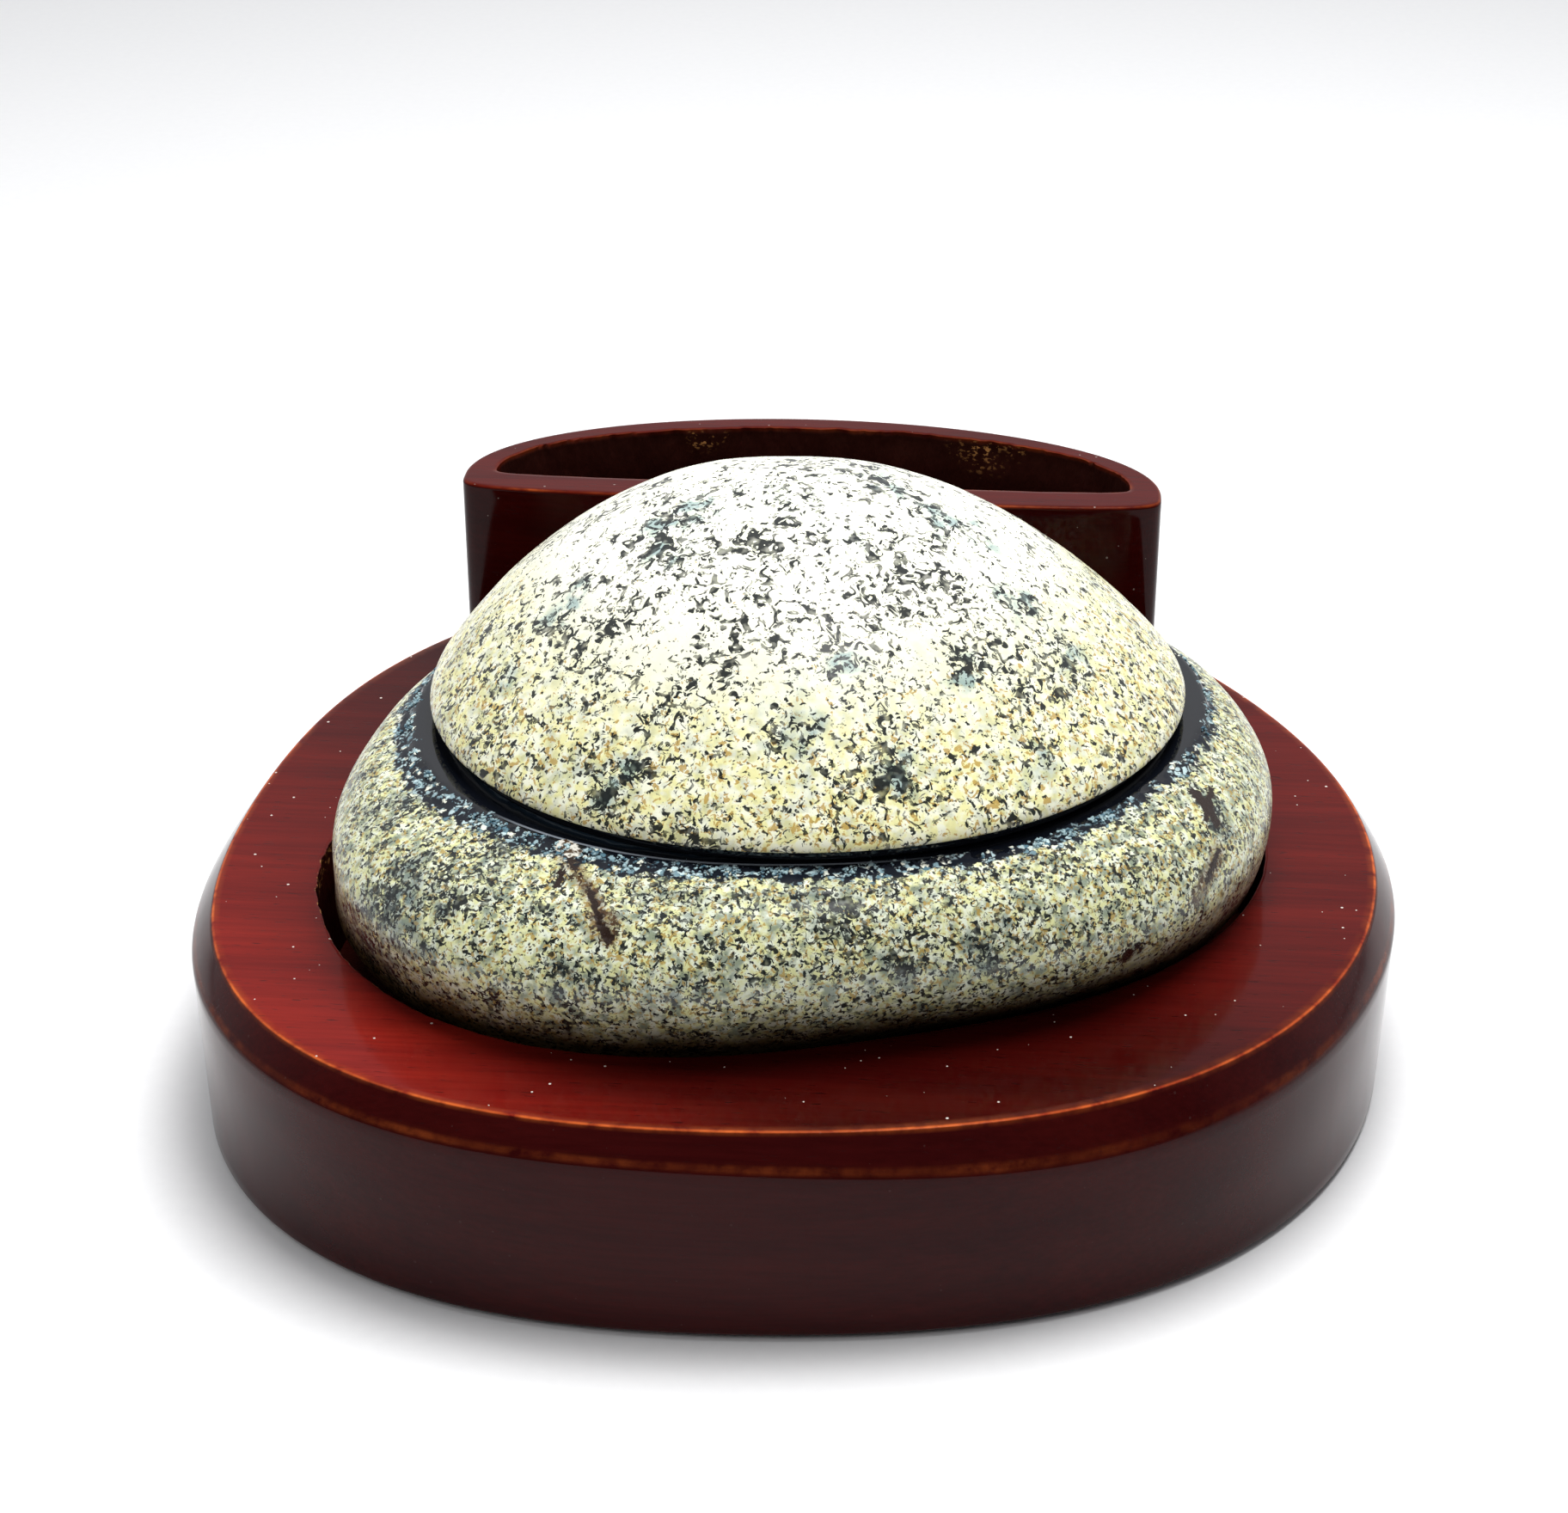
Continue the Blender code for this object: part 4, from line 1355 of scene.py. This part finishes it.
class GEODE_OT_crystals(bpy.types.Operator):
    """Line both halves' hollows with small pointed quartz crystals"""

    bl_idname = "geode.crystals"
    bl_label = "Hollow Crystals"

    def execute(self, context):
        turn = angles(STONE_TURNS)
        edge = smooth_reach(CUT_REACH, turn)
        lid_edge = smooth_reach(LID_REACH, turn) - EDGE_ROUND[0] - MARGIN_INSET
        halves = (
            ("lower_crystals", "lower_half", "lower_skin", edge, CUT_Z, -LOWER_HOLLOW, 21),
            ("upper_crystals", "upper_half", "upper_skin", lid_edge, LID_BASE, UPPER_HOLLOW, 31),
        )
        for name, body, slot, outline, face, depth, seed in halves:
            self.line_hollow(name, body, slot, outline * HOLLOW_SHARE, face, depth, seed)
        return {"FINISHED"}

    def line_hollow(self, name, body, slot, mouth, face, depth, seed):
        """Crystals square to the hollow's wall, tilted at random, longest in its middle."""
        longest = bpy.context.scene.geode_stone.crystal_length / MM
        turn = angles(STONE_TURNS)
        steps = 120
        rows = hollow_rows(mouth, turn, face, depth, stone_centre(), steps, seed)
        normal = row_normals(rows) * (-1 if depth > 0 else 1)
        random = np.random.default_rng(seed + 5)
        swing = np.arcsin(np.clip(random.uniform(0, 1, 4200) ** 0.7, 0, 0.9995)) / (math.pi / 2)
        i = np.clip((swing * (steps - 1) / NEAR_POLE).astype(int), 4, steps - 2)
        share = i / (steps - 1)
        keep = random.uniform(0, 1, len(i)) < 0.45 + 0.55 * np.cos(share * NEAR_POLE * math.pi / 2)
        i = i[keep]
        j = random.integers(0, len(turn), len(i))
        places = rows[i, j]
        lean = normal[i, j] + random.normal(0, 0.28, (len(i), 3))
        length = longest * random.uniform(0.35, 1.0, len(i))
        length *= 0.35 + 0.65 * np.sin(i / steps * math.pi / 2)
        girth = length * random.uniform(0.75, 1.35, len(i))
        shape, faces = crystal_shape()
        sizes = np.column_stack([girth, girth, length])
        points, corners, sides = many_of(shape, faces, places, frames_along(lean, seed + 6), sizes)
        points[:, 2] = np.minimum(points[:, 2], face) if depth < 0 else np.maximum(points[:, 2], face)
        tip = np.tile(np.clip(shape[:, 2], 0, 1), len(i))
        mesh = mesh_from(name, points, corners, sides, {"tip": tip})
        made = bpy.data.objects.new(name, mesh)
        finish = crystal_material(name.replace("_", " "), (0.88, 0.91, 0.95), (0.38, 0.44, 0.52))
        show(made, body, finish, (), 20)


# ---------------------------------------------------------------- wood


def plinth_outline(turn):
    """The plinth's wall outline, centred on its CAD node's box."""
    reach = smooth_reach(PLINTH_REACH, turn)
    flat = flat_at(reach, turn)
    return flat + middle_mm("plinth")[:2] - own_middle(flat)


def arc_rows(outline, start, end, bulge, steps):
    """Rows from start to end, each (inset, height), that bulge outwards by half a sine wave."""
    rows = []
    for share in np.linspace(0, 1, steps):
        depth = start[0] + (end[0] - start[0]) * share - bulge * math.sin(share * math.pi)
        rows.append(raised(inset(outline, depth), start[1] + (end[1] - start[1]) * share))
    return rows


def chipped(points, low, high, seed):
    """Chip depth from 0 to 1 of a chiselled edge, from three sizes of relief."""
    rough = 0.5 * relief(points, high, seed) + 0.35 * relief(points, 0.5 * (low + high), seed + 1)
    rough += 0.25 * relief(points, low, seed + 2)
    return smoothstep(rough, -0.5, 0.9)


def cut_out(obj, points, faces):
    """Takes a closed shape, given by points in mm and faces, out of an object and returns what is left."""
    mesh = bpy.data.meshes.new("cutter")
    mesh.from_pydata((np.asarray(points, float) * MM).tolist(), [], faces)
    cutter = bpy.data.objects.new("cutter", mesh)
    scene = bpy.context.scene.collection
    scene.objects.link(cutter)
    scene.objects.link(obj)
    modifier = obj.modifiers.new("cut", "BOOLEAN")
    modifier.object = cutter
    modifier.operation = "DIFFERENCE"
    modifier.solver = "EXACT"
    shaped = bpy.data.meshes.new_from_object(obj.evaluated_get(bpy.context.evaluated_depsgraph_get()))
    shaped.materials.clear()
    name = obj.name
    bpy.data.objects.remove(cutter)
    bpy.data.objects.remove(obj)
    shaped.name = name
    return bpy.data.objects.new(name, shaped)


def bored(obj, bores):
    """Takes upright bores (x, y, radius, low, high, sides) in mm out of an object."""
    points = []
    faces = []
    for x, y, radius, low, high, sides in bores:
        turn = angles(sides)
        ring = flat_at(radius, turn, (x, y))
        first = sum(len(p) for p in points)
        points.append(np.vstack([raised(ring, low), raised(ring, high)]))
        faces.append(list(range(first + sides - 1, first - 1, -1)))
        faces.append(list(range(first + sides, first + 2 * sides)))
        for i in range(sides):
            after = (i + 1) % sides
            faces.append((first + i, first + after, first + sides + after, first + sides + i))
    return cut_out(obj, np.vstack(points), faces)


def screw_bores(top, wide=True):
    """Bores that the two screws pass through, and their head wells."""
    bores = []
    for number in (1, 2):
        node = f"socket_screw_{number}"
        x, y = middle_mm(node)[:2]
        bores.append((x, y, SCREW_SHANK + 0.3, BORE_START, top, 24))
        if wide:
            bores.append((x, y, SCREW_HEAD[0] + 0.6, BORE_START, SCREW_SEAT, 32))
    return bores


class GEODE_OT_plinth(bpy.types.Operator):
    """Build the plinth: eased base, wall, hand-cut chamfer, lacquered top and chiselled recess"""

    bl_idname = "geode.plinth"
    bl_label = "Plinth"

    def execute(self, context):
        turn = angles(WOOD_TURNS)
        wall = plinth_outline(turn)
        shoulder = smooth_reach(SHOULDER_RISE, turn)
        centre = stone_centre()
        chip = context.scene.geode_wood.chip / MM

        eased = PLINTH_BASE + BASE_EASE
        rows = arc_rows(wall, (WALL_DRAFT + BASE_EASE, PLINTH_BASE), (WALL_DRAFT, eased), 0.2, 4)
        for share in np.linspace(0, 1, 16)[1:]:
            height = eased + share * (shoulder - 0.35 - eased)
            rows.append(raised(inset(wall, WALL_DRAFT * (1 - share)), height))
        shoulder_row = len(rows) + 1.5
        for share in np.linspace(0, 1, 12):
            depth = 0.12 + (SHOULDER_INSET - 0.27) * share - 0.12 * math.sin(share * math.pi)
            rows.append(raised(inset(wall, depth), shoulder + 0.1 + (PLINTH_TOP - 0.35 - shoulder) * share))
        rows.append(raised(inset(wall, SHOULDER_INSET + 0.08), PLINTH_TOP - 0.10))
        rows.append(raised(inset(wall, SHOULDER_INSET + 0.45), PLINTH_TOP))
        edge_row = len(rows) - 2
        rim = inset(wall, SHOULDER_INSET + 0.45)

        room = smooth_reach(FOOT_REACH, turn) + smooth_reach(RECESS_PLAY, turn)
        recess = flat_at(room, turn, centre)
        left = np.clip(np.cos(turn - math.radians(188)), 0, 1) ** 3
        bite = chip * chipped(raised(recess, PLINTH_TOP), 1.0, 3.2, 51) * (0.25 + 1.1 * left)
        lip = inset(recess, -bite)
        for share in np.linspace(0, 1, 26)[1:]:
            near = 1 - (1 - share) ** 1.3
            rows.append(raised(rim * (1 - near) + lip * near, PLINTH_TOP - (0.18 if share == 1 else 0)))
        mouth_row = len(rows) - 1
        for share in np.linspace(0, 1, 26)[1:]:
            rough = 0.35 * relief(raised(recess, PLINTH_TOP - 22 * share), 3.0, 55)
            depth = bite * (1 - smoothstep(share, 0, 0.35)) + 0.25 * (rough + 0.3) * (1 - share) * 0.5
            height = PLINTH_TOP - 0.2 - (PLINTH_TOP - 0.6 - RECESS_FLOOR) * share
            rows.append(raised(inset(recess, -np.maximum(depth, 0)), height))
        for share in np.linspace(0, 1, 12)[1:-1]:
            rows.append(raised(centre + (recess - centre) * (1 - share), RECESS_FLOOR))
        rows = np.array(rows)

        along = np.arange(len(rows))[:, None] * np.ones(WOOD_TURNS)
        # Bright lines along the top edge and, fainter, along the shoulder: rubbed lacquer, and also a
        # painted edge highlight.
        rub_noise = 0.55 + 0.45 * relief(rows, 9.0, 57)
        rub = np.exp(-((along - edge_row) / 0.75) ** 2) * (0.2 + rub_noise)
        rub += 0.25 * np.exp(-((along - shoulder_row) / 0.9) ** 2) * rub_noise
        # Carved recess walls: rough and chiselled, and painted near black as painted shade.
        carved = (along > mouth_row - 0.5).astype(float)
        on_top = ((along > edge_row) & (along < mouth_row)).astype(float)
        sides = ((along > 3) & (along <= edge_row)).astype(float)
        left_side = np.clip(np.cos(turn - math.radians(190)), 0, 1)[None] ** 8
        # Painted light on the top: 0 at the left front, a painted sheen, rising with the angle away from it
        # to 1, painted shade; in front it rises faster near the stone, as the stone's painted shadow, and
        # it is held lower on the right.
        past = (np.degrees(turn) - 232 + 180)[None] % 360 - 180
        painted_stone_shadow = smoothstep(along, edge_row + 1, edge_row + 16) * np.clip(-np.sin(turn), 0, 1)[None]
        painted_light = smoothstep(np.where(past > 0, 2 * past, -past) + 34 * painted_stone_shadow, 0, 97)
        painted_light *= on_top * (1 - 0.4 * smoothstep(np.cos(turn), 0.6, 1.0))[None]
        masks = {
            "rub": np.clip(rub, 0, 1),
            "painted_light": painted_light,
            "carved": carved,
            "bare": carved * left_side * (rows[..., 2] > PLINTH_TOP - 3) * 0.8,
            "dust": on_top + 0.02 * sides,
            # painted shade on the wall and chamfer, below the top edge
            "side": (along < edge_row - 0.5).astype(float),
        }
        first = [*own_middle(wall), PLINTH_BASE]
        last = [*centre, RECESS_FLOOR]
        mesh = ring_surface("plinth_surface", rows, first, last, masks)
        made = bored(bpy.data.objects.new("plinth_surface", mesh), self.cutters())
        show(made, "stand", lacquer_material("red lacquer", 1.0), ["plinth"], 50)
        return {"FINISHED"}

    @staticmethod
    def cutters():
        """Pockets for the pads, and the screws' bores and wells."""
        cutters = screw_bores(PLINTH_TOP + 5)
        for number in (1, 2, 3, 4):
            low = corner_mm(f"foot_pad_{number}", 0)
            high = corner_mm(f"foot_pad_{number}", 1)
            x, y = (low + high)[:2] / 2
            radius = (high - low)[0] / 2 + PAD_PLAY
            cutters.append((x, y, radius, BORE_START, high[2] + PAD_PLAY, 48))
        return cutters


def evenly(outline, count):
    """A closed outline at equal steps of its length."""
    closed = np.vstack([outline, outline[:1]])
    steps = np.linalg.norm(np.diff(closed, axis=0), axis=1)
    along = np.concatenate([[0], np.cumsum(steps)])
    at = np.linspace(0, along[-1], count, endpoint=False)
    return np.column_stack([np.interp(at, along, closed[:, axis]) for axis in (0, 1)])


def d_outline(half, front, back, middle, corner):
    """Two half superellipses on one widest line: a round back, and a flat front with round corners."""
    turn = angles(6000)
    power = np.where(np.sin(turn) < 0, 2 / corner, 1.0)
    depth = np.where(np.sin(turn) < 0, front, back)
    x = SOCKET_X + half * np.sign(np.cos(turn)) * np.abs(np.cos(turn)) ** power
    y = middle + depth * np.sign(np.sin(turn)) * np.abs(np.sin(turn)) ** power
    return evenly(np.column_stack([x, y]), WOOD_TURNS)


class GEODE_OT_lid_socket(bpy.types.Operator):
    """Build the D-shaped socket: gently wavy walls, eased rim and a roughly chiselled pocket"""

    bl_idname = "geode.lid_socket"
    bl_label = "Lid Socket"

    def execute(self, context):
        outer = d_outline(SOCKET_HALF, SOCKET_FRONT, SOCKET_BACK, SOCKET_Y, 5.0)
        pocket = d_outline(POCKET_HALF, POCKET_FRONT, POCKET_BACK, SOCKET_Y + POCKET_AHEAD, 4.0)
        rows = [raised(outer, SOCKET_BASE)]
        for share in np.linspace(0, 1, 20)[1:]:
            height = SOCKET_BASE + share * (SOCKET_TOP - SOCKET_EASE - SOCKET_BASE)
            wave = 0.06 * relief(raised(outer, height * 0.3), 9.0, 71)
            rows.append(raised(inset(outer, 0.06 + wave), height))
        for share in np.linspace(0, 1, 6)[1:]:
            bend = share * math.pi / 2
            depth = 0.05 + SOCKET_EASE * (1 - math.cos(bend))
            rows.append(raised(inset(outer, depth), SOCKET_TOP - SOCKET_EASE * (1 - math.sin(bend))))
        edge_row = len(rows) - 3
        rim = inset(outer, SOCKET_EASE + 0.05)
        behind = smoothstep(pocket[:, 1], SOCKET_Y + 3, SOCKET_Y + 14)
        bite = 1.5 * chipped(raised(pocket, SOCKET_TOP), 0.9, 5.0, 72) * (0.12 + 0.88 * behind)
        bite = np.minimum(bite, 1.2)
        lip = inset(pocket, -bite * 0.8)
        for share in np.linspace(0, 1, 12)[1:]:
            rows.append(raised(rim * (1 - share) + lip * share, SOCKET_TOP - (0.15 if share == 1 else 0)))
        mouth_row = len(rows) - 1
        for share in np.linspace(0, 1, 30)[1:]:
            height = SOCKET_TOP - 0.2 - (SOCKET_TOP - POCKET_FLOOR - 0.2) * share
            gouge = relief(raised(pocket, height * 0.5), 2.6, 75)
            gouge += 0.5 * relief(raised(pocket, height), 1.2, 76)
            depth = bite * (1 - smoothstep(share, 0.0, 0.3)) + 0.28 * np.clip(gouge, 0, 2) * behind
            rows.append(raised(inset(pocket, -depth), height))
        middle = np.array([SOCKET_X, SOCKET_Y + POCKET_AHEAD + 8])
        for share in np.linspace(0, 1, 10)[1:-1]:
            rows.append(raised(middle + (pocket - middle) * (1 - share), POCKET_FLOOR))
        rows = np.array(rows)

        along = np.arange(len(rows))[:, None] * np.ones(WOOD_TURNS)
        # Bright lines along the rim and the pocket's mouth: rubbed lacquer, and also a painted edge
        # highlight.
        rub_noise = 0.45 + 0.45 * relief(rows, 7.0, 77)
        rub = 0.55 * np.exp(-((along - edge_row) / 1.0) ** 2) * rub_noise
        rub += 0.35 * np.exp(-((along - mouth_row) / 0.8) ** 2) * np.clip(rub_noise, 0, 1)
        carved = (along > mouth_row + 0.5).astype(float)
        near_top = smoothstep(rows[..., 2], SOCKET_TOP - 9, SOCKET_TOP - 1)
        splits = spots_on(rows, [
            (SOCKET_X - 23, SOCKET_Y + 25, SOCKET_TOP - 1, 5.0),
            (SOCKET_X + 31, SOCKET_Y + 24, SOCKET_TOP - 1, 7.0),
        ])
        masks = {
            "rub": np.clip(rub, 0, 1),
            # an even value of the painted light mask, which leaves the socket's lacquer about as it is
            "painted_light": np.full(rows.shape[:2], 0.33),
            # painted shade in the pocket, deeper at its back
            "carved": carved * (0.55 + 0.45 * (rows[..., 1] > SOCKET_Y + 5)),
            "bare": np.clip(carved * splits * near_top * 1.2, 0, 1),
            "dust": 0.3 * (1 - carved),
            # painted shade on the socket's wall, at 0.7 strength
            "side": 0.7 * (along < edge_row - 1.5),
        }
        first = [*own_middle(outer), SOCKET_BASE]
        last = [*middle, POCKET_FLOOR]
        mesh = ring_surface("lid_socket_surface", rows, first, last, masks)
        top = corner_mm("socket_screw_1", 1)[2] + 0.3
        made = bored(bpy.data.objects.new("lid_socket_surface", mesh), screw_bores(top, wide=False))
        show(made, "stand", lacquer_material("dark red lacquer", 0.5), ["lid_socket"], 50)
        return {"FINISHED"}


# ---------------------------------------------------------------- fittings


class GEODE_OT_fittings(bpy.types.Operator):
    """Build the felt pads and the threaded screws"""

    bl_idname = "geode.fittings"
    bl_label = "Pads and Screws"

    def execute(self, context):
        felt = felt_material("pressed felt")
        brass = brass_material("turned brass")
        for number in (1, 2, 3, 4):
            self.pad(f"foot_pad_{number}", felt, number)
        for number in (1, 2):
            self.screw(f"socket_screw_{number}", brass)
        return {"FINISHED"}

    def pad(self, node, felt, seed):
        """A pressed disc: a turned profile with round edges, and a fuzzy rim from fine relief."""
        low = corner_mm(node, 0)
        high = corner_mm(node, 1)
        radius = (high - low)[0] / 2
        thick = high[2] - low[2]
        turn = angles(96)
        bend = np.linspace(0, math.pi / 2, 5)
        flat = np.array([0.3, 0.6, 0.85]) * radius
        side = radius - PAD_EASE
        reach = [flat, side + PAD_EASE * np.sin(bend), side + PAD_EASE * np.cos(bend), flat[::-1]]
        top = thick - PAD_EASE
        height = [0 * flat, PAD_EASE * (1 - np.cos(bend)), top + PAD_EASE * np.sin(bend), 0 * flat + thick]
        profile = np.column_stack([np.concatenate(reach), np.concatenate(height)])
        centre = (low + high)[:2] / 2
        reach = np.repeat(profile[:, :1], len(turn), 1)
        rows = rings_at(reach, turn, low[2] + profile[:, 1], centre)
        fuzz = 0.06 * relief(rows, 0.7, 90 + seed) - 0.06
        rows += row_normals(rows) * (fuzz * (np.abs(rows[..., 2] - low[2]) > 0.05))[..., None]
        mesh = ring_surface(node + "_surface", rows, [*centre, low[2]], [*centre, high[2]])
        made = bpy.data.objects.new(node + "_surface", mesh)
        show(made, "stand", felt, [node])

    def screw(self, node, brass):
        """A turned screw: bevelled head, and a shank whose radius is a triangle wave of height and turn."""
        low = corner_mm(node, 0)
        high = corner_mm(node, 1)
        centre = (low + high)[:2] / 2
        head_radius, head_height = SCREW_HEAD
        under = low[2] + head_height
        turn = angles(48)
        head = np.array([
            (0.35 * head_radius, low[2]),
            (head_radius - 0.8, low[2]),
            (head_radius - 0.25, low[2] + 0.35),
            (head_radius, low[2] + 0.9),
            (head_radius, under - 0.15),
            (head_radius - 0.15, under),
            (SCREW_SHANK * SCREW_NECK, under),
        ])
        rows = rings_at(np.repeat(head[:, :1], len(turn), 1), turn, head[:, 1], centre)
        heights = np.linspace(under + 0.2, high[2] - 0.1, 230)[:, None]
        phase = heights / THREAD_PITCH - turn[None] / (2 * math.pi)
        tooth = 1 - 2 * np.abs(phase - np.floor(phase) - 0.5)
        thread = smoothstep(heights, under + 9.0, under + 11.0)
        taper = np.clip((high[2] - heights) / 2.6, 0.04, 1)
        reach = SCREW_SHANK * (SCREW_NECK - 0.16 * thread + 0.30 * thread * tooth**0.8) * taper
        rows = np.concatenate([rows, rings_at(reach, turn, heights, centre)])
        mesh = ring_surface(node + "_surface", rows, [*centre, low[2]], [*centre, high[2]])
        made = slotted(bpy.data.objects.new(node + "_surface", mesh), centre, low[2])
        show(made, "stand", brass, [node], 50)


def slotted(obj, centre, low):
    """Cuts a straight driver slot across a screw's head, open below."""
    x, y = centre
    half, deep = SCREW_SLOT
    reach = 3 * SCREW_HEAD[0]
    points = [(x + a * reach, y + b * half, low + c) for a in (-1, 1) for b in (-1, 1) for c in (-1, deep)]
    faces = [(0, 1, 3, 2), (4, 6, 7, 5), (0, 4, 5, 1), (2, 3, 7, 6), (0, 2, 6, 4), (1, 5, 7, 3)]
    return cut_out(obj, points, faces)


# ---------------------------------------------------------------- stage


class GEODE_OT_stage(bpy.types.Operator):
    """Set the pale floor, the soft studio light and the camera"""

    bl_idname = "geode.stage"
    bl_label = "Stage"

    def execute(self, context):
        settings = context.scene.geode_stage
        self.floor()
        self.softbox(settings)
        self.surround()
        self.camera(settings)
        context.scene.view_settings.view_transform = "Standard"
        return {"FINISHED"}

    def floor(self):
        """A flat square, four metres wide, under the pads."""
        half = 2000.0
        points = np.array([(-half, -half, 0), (half, -half, 0), (half, half, 0), (-half, half, 0)])
        mesh = mesh_from("floor", points, np.arange(4), np.array([4]))
        made = bpy.data.objects.new("floor", mesh)
        bpy.context.scene.collection.objects.link(made)
        made.data.materials.append(floor_material("pale floor"))

    def softbox(self, settings):
        """A square light above and a weak one in front, both unmirrored, and a dim panel only mirrored."""
        scene = bpy.context.scene.collection
        for name, place, size, watts, mirrored in (
            ("softbox", (0.10, 0.10, 0.90), 0.50, settings.key_watts, False),
            ("front fill", (-0.30, -0.75, 0.85), 0.5, 0.24 * settings.key_watts, False),
            ("sheen panel", (0.17, -0.15, 0.97), 0.26, 0.10 * settings.key_watts, True),
        ):
            light = bpy.data.lights.new(name, "AREA")
            light.size = size
            light.energy = watts
            lamp = bpy.data.objects.new(name, light)
            lamp.location = place
            lamp.visible_glossy = mirrored
            lamp.visible_diffuse = not mirrored
            lamp.rotation_euler = (Vector((0, 0, 0.04)) - Vector(place)).to_track_quat("-Z", "Y").to_euler()
            scene.objects.link(lamp)

    def surround(self):
        """A white room whose front half, behind the camera, is dim."""
        world = bpy.data.worlds.new("white room")
        world.use_nodes = True
        wiring = Wiring(world.node_tree)
        place = wiring.add("ShaderNodeTexCoord").outputs["Generated"]
        depth = wiring.add("ShaderNodeSeparateXYZ", {0: place}).outputs[1]
        back = wiring.between(depth, -0.40, 0.30)
        tone = wiring.mix(back, (0.07, 0.07, 0.075), (0.62, 0.63, 0.65))
        background = world.node_tree.nodes["Background"]
        wiring.put(background.inputs["Color"], tone)
        bpy.context.scene.world = world

    def camera(self, settings):
        """The camera stands in front, above and a little to the right."""
        data = bpy.data.cameras.new("camera")
        data.lens = settings.lens_mm
        data.sensor_width = 36
        data.sensor_fit = "HORIZONTAL"
        made = bpy.data.objects.new("camera", data)
        made.location = settings.camera_place
        made.rotation_euler = settings.camera_tilt
        bpy.context.scene.collection.objects.link(made)
        bpy.context.scene.camera = made


class GEODE_PT_panel(bpy.types.Panel):
    """Lists the pieces that can be built"""

    bl_idname = "GEODE_PT_panel"
    bl_label = "Geode on a Stand"
    bl_space_type = "VIEW_3D"
    bl_region_type = "UI"
    bl_category = "Geode"

    def draw(self, context):
        layout = self.layout
        for group in ("geode_stone", "geode_wood", "geode_stage"):
            settings = getattr(context.scene, group)
            for name in settings.__annotations__:
                layout.prop(settings, name)
        for operator in OPERATORS:
            layout.operator(operator.bl_idname)


SETTINGS = {
    "geode_stone": GeodeStoneSettings,
    "geode_wood": GeodeWoodSettings,
    "geode_stage": GeodeStageSettings,
}
OPERATORS = (
    GEODE_OT_plinth,
    GEODE_OT_lid_socket,
    GEODE_OT_lower_stone,
    GEODE_OT_upper_stone,
    GEODE_OT_crust,
    GEODE_OT_crystals,
    GEODE_OT_fittings,
    GEODE_OT_stage,
)


def register():
    """Registers the settings, operators and panel."""
    for name, group in SETTINGS.items():
        bpy.utils.register_class(group)
        setattr(bpy.types.Scene, name, PointerProperty(type=group))
    for operator in OPERATORS:
        bpy.utils.register_class(operator)
    bpy.utils.register_class(GEODE_PT_panel)


def unregister():
    """Takes them away again."""
    bpy.utils.unregister_class(GEODE_PT_panel)
    for operator in reversed(OPERATORS):
        bpy.utils.unregister_class(operator)
    for name, group in SETTINGS.items():
        delattr(bpy.types.Scene, name)
        bpy.utils.unregister_class(group)


def main():
    """Builds every piece in order."""
    register()
    bpy.ops.geode.plinth()
    bpy.ops.geode.lid_socket()
    bpy.ops.geode.lower_stone()
    bpy.ops.geode.upper_stone()
    bpy.ops.geode.crust()
    bpy.ops.geode.crystals()
    bpy.ops.geode.fittings()
    bpy.ops.geode.stage()
    bpy.context.view_layer.update()


if __name__ == "__main__":
    main()
